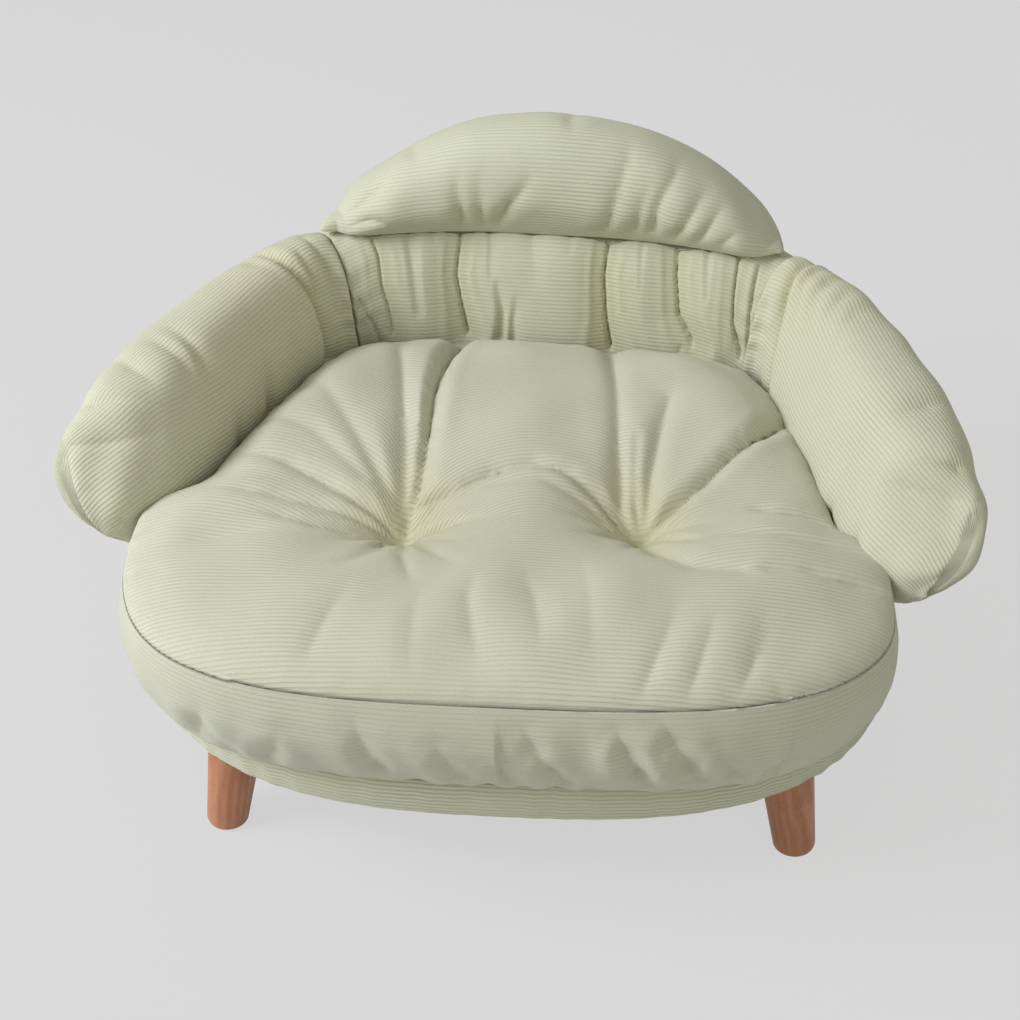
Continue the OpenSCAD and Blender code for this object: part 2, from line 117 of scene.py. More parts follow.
def grid_faces(rows, columns, first=0, wrap=True):
    """Four-cornered faces between neighbours of a grid that may close on itself across its columns."""
    i, j = np.meshgrid(np.arange(rows - 1), np.arange(columns if wrap else columns - 1), indexing="ij")
    k = (j + 1) % columns
    return first + np.stack([i * columns + j, i * columns + k, (i + 1) * columns + k, (i + 1) * columns + j],
                            -1).reshape(-1, 4)


def sewn(name, points, panels, material, body, more=(), deep=None):
    """A smooth mesh of points in millimetres. Each panel is its faces and the fabric's own flat
    coordinates for every point: along the ribs and across them, which become the map 'weave'. The
    panels at the indices in 'more' have a finish of their own, and 'deep' is the depth of each
    point in the folds, which the colour turns into painted shade."""
    mesh = bpy.data.meshes.new(name)
    faces = [face for corners, _ in panels for face in corners.tolist()]
    mesh.from_pydata((points * MM).tolist(), [], faces)
    flat = np.concatenate([weave[corners.reshape(-1)] for corners, weave in panels])
    mesh.uv_layers.new(name="weave").data.foreach_set("uv", (flat * MM).astype(np.float32).ravel())
    mesh.polygons.foreach_set("use_smooth", np.ones(len(faces), bool))
    mesh.materials.append(material)
    finishes = np.zeros(len(panels), int)
    for index, finish in more:
        finishes[index] = len(mesh.materials)
        mesh.materials.append(finish)
    mesh.polygons.foreach_set("material_index", np.repeat(finishes, [len(corners) for corners, _ in panels]))
    if deep is not None:
        mesh.attributes.new("deep", "FLOAT", "POINT").data.foreach_set("value", deep.astype(np.float32))
    mesh.update()
    piece = put_in_scene(name, mesh)
    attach(piece, body)
    return piece


class Finish:
    """A material's node tree, with short ways to add and join its nodes."""

    def __init__(self, name):
        self.material = bpy.data.materials.new(name)
        self.material.use_nodes = True
        self.tree = self.material.node_tree
        self.shader = self.tree.nodes["Principled BSDF"]

    def node(self, kind, **inputs):
        """A new node. An input is named with _ for a space, or by its number after an i."""
        made = self.tree.nodes.new(kind)
        for key, value in inputs.items():
            socket = made.inputs[int(key[1:])] if key[0] == "i" and key[1:].isdigit() else made.inputs[
                key.replace("_", " ")]
            if hasattr(value, "links"):
                self.tree.links.new(value, socket)
            else:
                socket.default_value = value
        return made

    def math(self, operation, a, b=0.0, c=0.0):
        made = self.node("ShaderNodeMath", i0=a, i1=b, i2=c)
        made.operation = operation
        return made.outputs[0]

    def noise(self, where, scale, detail=2.0, roughness=0.5):
        return self.node("ShaderNodeTexNoise", Vector=where, Scale=scale, Detail=detail,
                         Roughness=roughness).outputs["Fac"]

    def place(self):
        """The place in the piece's own frame."""
        return self.node("ShaderNodeTexCoord").outputs["Object"]

    def axes(self, where):
        return self.node("ShaderNodeSeparateXYZ", Vector=where).outputs

    def scaled(self, where, *scale):
        return self.node("ShaderNodeMapping", Vector=where, Scale=scale).outputs[0]

    def graded(self, value, start, end, at_start, at_end):
        """A straight run from one value to another, level outside its start and end."""
        return self.node("ShaderNodeMapRange", Value=value, i1=start, i2=end, i3=at_start,
                         i4=at_end).outputs[0]

    def bumps(self, height, strength, distance):
        return self.node("ShaderNodeBump", Strength=strength, Distance=distance, Height=height).outputs[0]

    def mix(self, share, a, b, blend="MIX"):
        made = self.tree.nodes.new("ShaderNodeMix")
        made.data_type, made.blend_type = "RGBA", blend
        for socket, value in zip((made.inputs[0], made.inputs[6], made.inputs[7]), (share, a, b)):
            if hasattr(value, "links"):
                self.tree.links.new(value, socket)
            else:
                socket.default_value = (*value, 1.0) if isinstance(value, tuple) else value
        return made.outputs[2]

    def join(self, **inputs):
        """Sets the shader's inputs and gives the finished material."""
        for key, value in inputs.items():
            socket = self.shader.inputs[key.replace("_", " ")]
            if hasattr(value, "links"):
                self.tree.links.new(value, socket)
            else:
                socket.default_value = value
        return self.material


def corduroy(name, rib_color=RIB_COLOR, shaded_valley_color=SHADED_VALLEY_COLOR, depth=0.55, seed=0.0, pressed=0.0):
    """Medium corduroy: height over a rib is |sin(pi v / pitch)|^0.6, which gives full round ribs and
    narrow valleys, painted darker and greener than the ribs as painted shade. The nap breaks it up,
    and wears it paler. Deep in the folds the colour is painted darker and yellower, as painted shade."""
    f = Finish(name)
    where = f.node("ShaderNodeUVMap")
    where.uv_map = "weave"
    flat = where.outputs["UV"]
    body = f.place()
    moved = f.node("ShaderNodeMapping", Vector=body, Location=(seed, seed * 0.7, seed * 1.3)).outputs[0]
    axes = f.axes(flat)
    patches = f.noise(moved, 9.0, 3.0, 0.55)
    sway = f.noise(f.scaled(flat, 40, 90, 1), 1.0, 2.0)
    v = f.math("MULTIPLY_ADD", f.math("SUBTRACT", sway, 0.5), 0.0006, axes[1])
    wave = f.math("ABSOLUTE", f.math("SINE", f.math("MULTIPLY", v, math.pi / (RIB_PITCH * MM))))
    rib = f.math("POWER", wave, 0.6)
    nap = f.noise(f.scaled(flat, 520, 1500, 1), 1.0, 3.0, 0.7)
    tufting = f.noise(f.scaled(flat, 1500, 400, 1), 1.0, 2.0)
    standing = f.graded(patches, 0.35, 0.68, 0.6 - pressed, 1.0 - pressed)
    share = f.math("MULTIPLY_ADD", f.math("SUBTRACT", rib, 1.0), standing, 1.0)
    # painted shade: the valleys between the ribs are coloured darker and greener than the ribs
    color = f.mix(share, shaded_valley_color, rib_color)
    fleck = f.graded(nap, 0.25, 0.75, 0.90, 1.08)
    shade = f.graded(f.noise(moved, 4.5, 2.0), 0.3, 0.7, 0.965, 1.03)
    warm = f.mix(f.noise(moved, 3.1, 1.0), (1.0, 0.985, 0.95), (0.97, 1.0, 1.03))
    tone = f.math("MULTIPLY", fleck, shade)
    grey = f.node("ShaderNodeCombineColor", Red=tone, Green=tone, Blue=tone).outputs[0]
    color = f.mix(1.0, f.mix(1.0, color, grey, "MULTIPLY"), warm, "MULTIPLY")
    # Painted shade: the deeper a point lies in a fold, tuck or tuft, the darker and yellower its colour
    fold = f.node("ShaderNodeAttribute")
    fold.attribute_name = "deep"
    color = f.mix(fold.outputs["Fac"], color, f.mix(1.0, color, (0.86, 0.83, 0.60), "MULTIPLY"))
    height = f.math("ADD", f.math("MULTIPLY", share, depth),
                    f.math("ADD", f.math("MULTIPLY", nap, 0.16), f.math("MULTIPLY", tufting, 0.12)))
    bump = f.bumps(height, 1.0, MM)
    return f.join(Base_Color=color, Roughness=0.92, Specular_IOR_Level=0.2, Sheen_Weight=0.22,
                  Sheen_Roughness=0.45, Sheen_Tint=(0.93, 0.96, 0.86, 1.0), Normal=bump)


def cover_loops(turns):
    """The cover's section carried round the rim: from the hem's inner edge out under the board, up the
    rim in a soft bulge, over the edge and in over the lid. Each level is a way in from the rim and a
    height. Near the corners the eased band puckers across its ribs."""
    corner = 1 - np.abs(np.cos(2 * turns))
    gather = (np.sin(turns * 61 + 2.1 * np.sin(turns * 9)) * 0.6 + np.sin(turns * 97 + 1.3) * 0.4) * (
        0.35 + 0.9 * corner ** 2)
    side = [(COVER_T * 0.6 * (2 * q - 1) ** 2 - RIM_BULGE * math.sin(math.pi * q),
             RIM_LOW + FACE_START + FACE_H * q, 0.4 + q * (1 - q)) for q in np.linspace(0, 1, 15)]
    levels = ([(HEM_W, RIM_LOW, 0.0), (HEM_W * 0.66, RIM_LOW, 0.2), (HEM_W * 0.33, RIM_LOW, 0.4),
               (4.0, RIM_LOW, 0.5), (1.4, RIM_LOW + 0.3, 0.5)] + side
              + [(1.6, RIM_TOP - 0.4, 0.4), (5.0, RIM_TOP, 0.1), (14.0, RIM_TOP, 0.0), (40.0, RIM_TOP, 0.0)])
    loops = []
    for inward, z, puck in levels:
        half_x, half_y = PLATFORM_W / 2 - inward, PLATFORM_D / 2 - inward
        flat = superellipse(half_x, half_y, RIM_POWER, turns) + [0, PLATFORM_Y]
        outward = superellipse(half_x + 1, half_y + 1, RIM_POWER, turns) + [0, PLATFORM_Y] - flat
        wave = np.where(z > RIM_LOW, 1.0, 0.0) * gather * puck * PUCKER_H
        flat = flat + outward * wave[:, None]
        loops.append(np.concatenate([flat, np.full((len(turns), 1), z)], -1))
    return np.array(loops)


cover_cloth = corduroy("platform_corduroy", seed=3.0)
rim_turns = np.linspace(0, 2 * np.pi, RIM_STEPS + 1)[:-1]
loops = cover_loops(rim_turns)
rows, around = loops.shape[:2]
lid_heart = np.array([0, PLATFORM_Y, 0])
lid = np.array([lid_heart + (loops[-1] - lid_heart) * [s, s, 1] for s in LID_SHARES])
cover_points = np.concatenate([loops.reshape(-1, 3), lid.reshape(-1, 3), [[0, PLATFORM_Y, RIM_TOP]]])
band_weave = np.stack([lengths(loops, 1), lengths(loops, 0)], -1).reshape(-1, 2)
band_weave = np.concatenate([band_weave, cover_points[len(band_weave):, :2]])
lid_faces = grid_faces(1 + len(LID_SHARES), around, (rows - 1) * around)
last = len(cover_points) - 1
ring = np.arange(around)
hub = np.stack([last - around + ring, last - around + (ring + 1) % around, np.full(around, last)], -1)
platform_cover = sewn("corduroy_platform_cover", cover_points, [
    (grid_faces(rows, around), band_weave), (lid_faces, cover_points[:, :2]),
    (hub, cover_points[:, :2])], cover_cloth, "sofa")
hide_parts("platform_cover")

# Legs, board and fixings

# Turned beech legs, stained a reddish brown and wiped with a thin satin lacquer. Each has its own
# piece of timber, with the grain along it, and is screwed by a hanger bolt into a tee nut in the board.
LEG_SPLAY, FOOT_X, FOOT_Y = 12.0, 221.0, 203.0
RING_WAVES, PLY_PITCH, DRAWN_GRAIN = 1150.0, 2.6, 700.0
STAIN_LIGHT, STAIN_MID, STAIN_DARK = (0.48, 0.215, 0.108), (0.39, 0.155, 0.070), (0.19, 0.062, 0.026)


def stained_beech(name, corner_x, corner_y, seed):
    """Beech cut along its grain: long streaks, growth rings that run out as tall arches, and the short
    dark flecks of its rays, all drawn on places turned to the leg's own tilt."""
    f = Finish(name)
    body = f.place()
    tilt = math.radians(LEG_SPLAY)
    heading = math.atan2(corner_y * FOOT_Y, corner_x * FOOT_X)
    placed = f.node("ShaderNodeMapping", Vector=body, Location=(-corner_x * FOOT_X * MM,
                    -(PLATFORM_Y + corner_y * FOOT_Y) * MM, 0.0)).outputs[0]
    level = f.node("ShaderNodeMapping", Vector=placed, Rotation=(0.0, 0.0, -heading)).outputs[0]
    upright = f.node("ShaderNodeMapping", Vector=level, Rotation=(0.0, tilt, 0.0),
                     Location=(seed * 0.37, seed * 0.21, seed * 0.11)).outputs[0]
    streaks = f.noise(f.scaled(upright, 150, 150, 7), 1.0, 4.0, 0.6)
    bend = f.noise(f.scaled(upright, 22, 22, 9), 1.0, 2.0)
    axes = f.axes(upright)
    across = f.math("MULTIPLY_ADD", bend, 0.016, axes[0])
    rings = f.math("SINE", f.math("MULTIPLY", across, RING_WAVES))
    flecks = f.noise(f.scaled(upright, 1500, 1500, 240), 1.0, 1.0)
    fleck = f.graded(flecks, 0.60, 0.70, 0.0, 1.0)
    tone = f.math("MULTIPLY_ADD", rings, 0.16, streaks)
    pale = f.graded(tone, 0.34, 0.70, 0.0, 1.0)
    color = f.mix(pale, STAIN_MID, STAIN_LIGHT)
    color = f.mix(f.math("MULTIPLY", fleck, 0.45), color, STAIN_DARK)
    blotch = f.noise(f.scaled(upright, 34, 34, 16), 1.0, 2.0)
    knot = f.graded(blotch, 0.56, 0.74, 0.0, 0.75)
    color = f.mix(knot, color, STAIN_DARK)
    foot = f.graded(f.axes(body)[2], 0.004, 0.016, 0.35, 0.0)
    color = f.mix(foot, color, STAIN_LIGHT)
    grain_height = f.math("MULTIPLY_ADD", fleck, -0.6, streaks)
    bump = f.bumps(grain_height, 0.35, 0.0004)
    rough = f.graded(streaks, 0.3, 0.7, 0.52, 0.40)
    return f.join(Base_Color=color, Roughness=rough, Specular_IOR_Level=0.4, Coat_Weight=0.12,
                  Coat_Roughness=0.35, Normal=bump)


def finish_node(material, *names):
    """Gives a CAD node's own mesh this material in each of its slots."""
    for name in names:
        node = cad[name]
        if not node.material_slots:
            node.data.materials.append(material)
        for place_for in node.material_slots:
            place_for.material = material


for number, (corner_name, corner_x, corner_y) in enumerate((
        ("front_left", -1, -1), ("front_right", 1, -1), ("rear_left", -1, 1), ("rear_right", 1, 1))):
    finish_node(stained_beech("beech_" + corner_name, corner_x, corner_y, number + 1.0), "leg_" + corner_name)


def plywood(name):
    """Birch plywood: pale faces with a soft cathedral grain, and its plies as thin dark lines at the edge."""
    f = Finish(name)
    body = f.place()
    streaks = f.noise(f.scaled(body, 6, 90, 30), 1.0, 4.0, 0.6)
    height = f.axes(body)[2]
    plies = f.math("SINE", f.math("MULTIPLY", height, 2 * math.pi / (PLY_PITCH * MM)))
    line = f.graded(plies, 0.55, 0.95, 0.0, 0.5)
    color = f.mix(streaks, (0.66, 0.47, 0.28), (0.50, 0.33, 0.18))
    color = f.mix(line, color, (0.27, 0.16, 0.08))
    bump = f.bumps(streaks, 0.3, 0.0004)
    return f.join(Base_Color=color, Roughness=0.7, Normal=bump)


def cell_foam(name):
    """Upholstery foam: cream, open celled, a little yellower where it has aged."""
    f = Finish(name)
    body = f.place()
    cells = f.node("ShaderNodeTexVoronoi", Vector=body, Scale=900.0).outputs["Distance"]
    aged = f.noise(body, 12.0, 2.0)
    bump = f.bumps(cells, 0.8, 0.0006)
    return f.join(Base_Color=f.mix(aged, (0.80, 0.73, 0.50), (0.72, 0.60, 0.34)), Roughness=0.95,
                  Normal=bump)


def plated_steel(name, color, rough):
    """Plated steel with a fine drawn grain and faint stains."""
    f = Finish(name)
    body = f.place()
    fine = f.noise(f.scaled(body, 1, 1, 0.15), DRAWN_GRAIN, 3.0)
    stain = f.noise(body, 160.0, 2.0)
    shade = f.mix(stain, tuple(c * 0.82 for c in color), color)
    gloss = f.graded(fine, 0.3, 0.7, rough * 0.8, rough * 1.3)
    bump = f.bumps(fine, 0.25, 0.0001)
    return f.join(Base_Color=shade, Metallic=1.0, Roughness=gloss, Normal=bump)


def moulded_plastic(name, color):
    """Moulded plastic with a fine spark texture, scuffed paler where it stands on the floor."""
    f = Finish(name)
    body = f.place()
    spark = f.noise(body, 1800.0, 2.0)
    height = f.axes(body)[2]
    scuff = f.graded(height, 0.0, 0.0012, 0.5, 0.0)
    shade = f.mix(f.math("MULTIPLY", scuff, f.noise(body, 240.0, 3.0)), color, (0.30, 0.29, 0.27))
    bump = f.bumps(spark, 0.3, 0.0001)
    return f.join(Base_Color=shade, Roughness=0.55, Normal=bump)


finish_node(plywood("birch_plywood"), "platform_board")
finish_node(cell_foam("upholstery_foam"), "platform_foam")
finish_node(plated_steel("zinc_plate", (0.72, 0.73, 0.74), 0.30), "hanger_bolts", "tee_nuts", "cloth_staples")
finish_node(moulded_plastic("glide_plastic", (0.045, 0.043, 0.042)), "glide_front_left", "glide_front_right",
            "glide_rear_left", "glide_rear_right")

# Dust cloth

# Grey spunbonded cloth that closes the platform from below. Its edge is turned in and stapled over
# the cover's hem, and between the staples it hangs a little slack.
CLOTH_T, CLOTH_SAG, STAPLES, PUCKER_LIFT = 0.5, 2.6, 24, 0.225
CLOTH_RINGS, CLOTH_SPOKES, CLOTH_HEART, DIMPLE_WAVES = 60, 480, 0.04, 2600.0


def dust_cloth_form(share, turns):
    """Height of the cloth under the board: it sags as (1 - share^2)^2, and near its edge it puckers
    between one staple and the next."""
    lift = PUCKER_LIFT * np.exp(-((1 - share) / 0.07) ** 2) * (1 - np.cos(turns * STAPLES + np.pi))
    return RIM_LOW + CLOTH_T / 2 + 0.05 - CLOTH_SAG * (1 - share ** 2) ** 2 + lift


def spunbond(name):
    """Spunbonded polypropylene: grey felted threads with the small square dimples of its hot rollers."""
    f = Finish(name)
    body = f.place()
    threads = f.noise(body, 900.0, 4.0, 0.7)
    axes = f.axes(body)
    dimple = f.math("MULTIPLY", f.math("SINE", f.math("MULTIPLY", axes[0], DIMPLE_WAVES)),
                    f.math("SINE", f.math("MULTIPLY", axes[1], DIMPLE_WAVES)))
    pit = f.graded(dimple, 0.35, 0.8, 0.0, 1.0)
    color = f.mix(threads, (0.062, 0.064, 0.066), (0.125, 0.127, 0.130))
    height = f.math("SUBTRACT", threads, pit)
    bump = f.bumps(height, 0.6, 0.0004)
    return f.join(Base_Color=color, Roughness=0.85, Sheen_Weight=0.1, Normal=bump)


cloth_turns = np.linspace(0, 2 * np.pi, CLOTH_SPOKES + 1)[:-1]
cloth_shares = np.linspace(CLOTH_HEART, 1.0, CLOTH_RINGS)
cloth_share, cloth_turn = np.meshgrid(cloth_shares, cloth_turns, indexing="ij")
cloth_plan = superellipse(PLATFORM_W / 2 - HEM_W - 1, PLATFORM_D / 2 - HEM_W - 1, RIM_POWER, cloth_turn)
cloth_plan = cloth_plan * cloth_share[..., None] + [0, PLATFORM_Y]
cloth_points = np.concatenate([cloth_plan, dust_cloth_form(cloth_share, cloth_turn)[..., None]], -1)
cloth_points = np.concatenate([cloth_points.reshape(-1, 3), [[0, PLATFORM_Y, dust_cloth_form(0.0, 0.0)]]])
spokes = np.arange(CLOTH_SPOKES)
cloth_hub = np.stack([(spokes + 1) % CLOTH_SPOKES, spokes, np.full(CLOTH_SPOKES, len(cloth_points) - 1)], -1)
dust_cloth = sewn("dust_cloth", cloth_points, [
    (grid_faces(CLOTH_RINGS, CLOTH_SPOKES)[:, ::-1], cloth_points[:, :2]), (cloth_hub, cloth_points[:, :2])],
    spunbond("dust_cloth_spunbond"), "sofa")
thick = dust_cloth.modifiers.new("cloth_thickness", "SOLIDIFY")
thick.thickness, thick.offset = CLOTH_T * MM, 0.0
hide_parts("underside_cloth")

# Seat cushion

# A loose, deep cushion: a top panel, a boxing band and a flat base sewn into one corduroy case and
# stuffed with fibre. Two stitches through it draw the top down into tufts, and the slack round them
# runs off in creases to the back, to the arms and from one tuft to the other.
SHELL_TURN, ROLL_T, ARM_T, JOINT_Z, REAR_Y, FRONT_Y = 3.5, 90.0, 94.0, 302.0, 288.0, -288.0
SEAM_STEP, TIP_STEP = 2.0, 7.0
CUSHION_W, CUSHION_GAP, BAND_BULGE, CUSHION_FILL = 570.0, 7.0, 6.0, 0.75
UPPER_SEAM_Z, LOWER_SEAM_Z, FILL_Z, CROWN_H, TUFT_Y = 206.3, 115.3, 113.3, 33.0, -101.0
CUSHION_MIDDLE, CROWN_HEART, BASE_HEART = (np.array([0.0, y]) for y in (-60.0, TUFT_Y - 38.6, -40.0))
OUTLINE_STEPS, BASE_SHARES = 3600, np.array([0.8, 0.55, 0.3, 0.12])
SHELL_PATH = np.array([
    (-0.35, 0.98), (0, 1), (0.35, 0.98), (0.635, 0.875), (0.80, 0.63), (0.90, 0.275), (0.965, -0.025),
    (1, -0.242), (1.01, -0.431), (1.015, -0.615)])


def shell_path(step):
    """Middle line of the rolls in plan: a Catmull-Rom curve through the points above, in shares of half
    the platform's width and depth, mirrored for steps below 0."""
    s = np.abs(step)
    i = np.clip(np.floor(s), 0, len(SHELL_PATH) - 4).astype(int)
    f = (s - i)[..., None]
    a, b, c, d = (SHELL_PATH[i + k] for k in range(4))
    q = 0.5 * (2 * b + (c - a) * f + (2 * a - 5 * b + 4 * c - d) * f ** 2 + (3 * b - a - 3 * c + d) * f ** 3)
    return q * np.stack([np.where(step < 0, -1, 1) * PLATFORM_W / 2,
                         np.full(s.shape, REAR_Y - PLATFORM_Y - ROLL_T / 2)], -1)


def shell_side(step):
    """Level direction square to the shell's path, away from the seat."""
    along = shell_path(step + 0.02) - shell_path(step - 0.02)
    side = np.stack([-along[..., 1], along[..., 0]], -1)
    return side / np.linalg.norm(side, axis=-1, keepdims=True)


def turned(points, degrees):
    """Plan points turned clockwise about the middle of the shell."""
    a = np.radians(degrees)
    return np.stack([points[..., 0] * np.cos(a) + points[..., 1] * np.sin(a),
                     points[..., 1] * np.cos(a) - points[..., 0] * np.sin(a)], -1)


def arm_thickness(step):
    """Thickness of the shell: ROLL_T behind the seat, and smoothly up to ARM_T along the arms."""
    return ROLL_T + (ARM_T - ROLL_T) * smooth((np.abs(step) - SEAM_STEP) / (TIP_STEP - SEAM_STEP) * 2.5)


def cushion_outline(t):
    """Plan of the upper seam by an angle in degrees: from 0 to 180 it follows the inside of the shell at
    a gap and spreads to full width past the arms' tips; from 180 to 360 it is a superellipse."""
    def well(step):
        return shell_path(step) - (arm_thickness(step) / 2 + CUSHION_GAP)[..., None] * shell_side(step)
    shoulder = well(np.array([TIP_STEP]))[0, 1]
    reach = PLATFORM_Y + shoulder - FRONT_Y
    p = superellipse(CUSHION_W / 2, reach - BAND_BULGE, 3.2, np.radians(t))
    front = turned(p + [0, shoulder], SHELL_TURN * smooth(1 + p[..., 1] / reach / 0.7))
    share = 1 - np.clip(t, 0, 180) / 90
    step = TIP_STEP * np.sign(share) * np.abs(share) ** 1.3
    q = well(step)
    spread = 1 - smooth((TIP_STEP - np.abs(step)) / 1.35)
    back = turned(q + np.stack([np.sign(step) * (CUSHION_W / 2 - np.abs(q[..., 0])) * spread, 0 * step], -1),
                  SHELL_TURN)
    return np.where((t <= 180)[..., None], back, front) + [0, PLATFORM_Y]


def even_outline(count, corners):
    """The outline at even steps, a quarter of the count between each two of four corner directions."""
    fine = cushion_outline(np.linspace(0, 360, OUTLINE_STEPS + 1)[:-1])
    heading = np.degrees(np.arctan2(fine[:, 1] - CUSHION_MIDDLE[1], fine[:, 0]))
    starts = [int(np.argmin(np.abs((heading - c + 180) % 360 - 180))) for c in corners]
    sides = []
    for k in range(4):
        a, b = starts[k], starts[(k + 1) % 4]
        arc = fine[np.arange(a, b + 1 + (OUTLINE_STEPS if b < a else 0)) % OUTLINE_STEPS]
        run = lengths(arc)
        even = np.linspace(0, run[-1], count // 4 + 1)[:-1]
        sides.append(np.stack([np.interp(even, run, arc[:, m]) for m in (0, 1)], -1))
    return np.concatenate(sides)


def fold_depth(points, line, power=1.3, lip=0.0):
    """How deep a fold presses at each point. The line's rows are a place, a depth and a width; the depth
    falls off as exp(-(distance / width)^power), and beside it the cloth swells by a share 'lip'."""
    n = points.shape[-1]
    line = np.asarray(line, float)
    depth = np.zeros(points.shape[:-1])
    swell = np.zeros(points.shape[:-1])
    for a, b in zip(line[:-1], line[1:]):
        run = b[:n] - a[:n]
        t = np.clip(((points - a[:n]) @ run) / (run @ run), 0, 1)
        off = np.linalg.norm(points - a[:n] - t[..., None] * run, axis=-1)
        d, w = (a[n + k] + (b[n + k] - a[n + k]) * t for k in (0, 1))
        depth = np.maximum(depth, d * np.exp(-(off / w) ** power))
        swell = np.maximum(swell, d * lip * np.exp(-((off - 2.3 * w) / (1.3 * w)) ** 2))
    return depth - swell


def ripple(x, y, seed, size):
    """Smooth uneven waves between about -1 and 1: six sines of seeded directions over a size."""
    rng = np.random.default_rng(seed)
    total = 0
    for _ in range(6):
        a, k, p = rng.uniform(0, 2 * np.pi), rng.uniform(0.6, 1.7), rng.uniform(0, 2 * np.pi)
        total = total + np.sin((x * np.cos(a) + y * np.sin(a)) * 2 * np.pi * k / size + p)
    return total / 3.0


SPAN = 200                         # faces along each side of the top's square grid
outline = even_outline(4 * SPAN, (-45, 45, 135, 225))
outline_run = lengths(np.concatenate([outline, outline[:1]]))[:-1]
ahead, behind = np.roll(outline, -2, 0), np.roll(outline, 2, 0)
outline_side = np.stack([(ahead - behind)[:, 1], -(ahead - behind)[:, 0]], -1)
outline_side /= np.linalg.norm(outline_side, axis=-1, keepdims=True)

# The top's grid is square rings round its middle, each a smaller copy of the outline
u, v = np.meshgrid(np.linspace(-1, 1, SPAN + 1), np.linspace(-1, 1, SPAN + 1), indexing="ij")
square = np.maximum(np.abs(u), np.abs(v))
safe = np.maximum(square, 1e-9)
quarter = np.where((np.abs(u) >= np.abs(v)) & (u > 0), v / safe + 1,
                   np.where((np.abs(v) >= np.abs(u)) & (v > 0), 3 - u / safe,
                            np.where((np.abs(u) >= np.abs(v)) & (u < 0), 5 - v / safe, 7 + u / safe)))
place_on = (quarter % 8) / 8 * 4 * SPAN
low_index = np.floor(place_on).astype(int) % (4 * SPAN)
part = (place_on - np.floor(place_on))[..., None]
rim_point = outline[low_index] * (1 - part) + outline[(low_index + 1) % (4 * SPAN)] * part
inward = 1 - (1 - square) ** 1.22
top_plan = CUSHION_MIDDLE + (rim_point - CUSHION_MIDDLE) * inward[..., None]


def crown_share(plan):
    """0 at the crown's heart and 1 on the upper seam, along straight rays."""
    rim_ray, ray = outline - CROWN_HEART, plan - CROWN_HEART
    order = np.argsort(np.arctan2(rim_ray[:, 1], rim_ray[:, 0]))
    angle, reach = np.arctan2(rim_ray[:, 1], rim_ray[:, 0])[order], np.linalg.norm(rim_ray, axis=1)[order]
    far = np.interp(np.arctan2(ray[..., 1], ray[..., 0]), angle, reach, period=2 * np.pi)
    return np.clip(np.linalg.norm(ray, axis=-1) / far, 0, 1)


def crown_height(plan, share):
    """The stuffed top before its folds: CROWN_H (1 - share^p)^0.55, a little lower at the back. The power
    p is 3.4 at the open front and 6 where the arms and the lumbar roll press the cushion full."""
    back, full = smooth((plan[..., 1] - TUFT_Y) / 292), smooth((plan[..., 1] + 70) / 120)
    return UPPER_SEAM_Z + CROWN_H * (1 - share ** (3.4 + 2.6 * full)) ** 0.55 * (1 - 0.18 * back)


TUFTS, TUFT_PULLS = np.array([(-87.0, -100.0), (94.0, -86.0)]), ((92.0, 60.0), (40.0, 42.0))
# Creases of the top panel, as x, y, depth and width in millimetres
SHARP_CREASES = [
    [(-80, -64, 13, 10), (-62, -58, 11, 8), (-45, -52, 9, 7), (-22, -36, 8, 7), (9, -25, 7, 7),
     (37, -33, 8, 7), (58, -51, 10, 8), (79, -76, 13, 10), (94, -86, 14, 12)],
    [(-84, -90, 16, 14), (-79, -41, 15, 8), (-78, 24, 14, 6), (-79, 89, 17, 6), (-76, 132, 18, 6),
     (-66, 200, 20, 7)],
    [(94, -86, 16, 13), (121, -57, 14, 8), (144, -28, 12, 6.5), (163, 2, 13, 6), (188, 36, 16, 6),
     (210, 69, 18, 7), (222, 92, 20, 7)],
    [(170, -66, 1, 8), (186, -68, 5, 5), (206, -71, 8, 5), (232, -72, 9, 5), (256, -70, 10, 6)],
    [(165, -151, 2, 8), (190, -150, 4, 6), (218, -147, 6, 5), (247, -150, 8, 5), (274, -147, 9, 6)],
    [(-196, -98, 1, 7), (-175, -103, 5, 5.5), (-150, -107, 7, 6), (-125, -107, 9, 7), (-99, -100, 12, 10)],
    [(-236, -68, 1, 7), (-210, -72, 4, 6), (-184, -75, 6, 6), (-150, -80, 7, 7), (-118, -88, 9, 8),
     (-95, -96, 12, 10)],
    [(-229, -16, 1, 8), (-205, -24, 4, 6), (-181, -33, 6, 6), (-150, -50, 7, 7), (-118, -72, 9, 8),
     (-94, -92, 12, 10)],
]
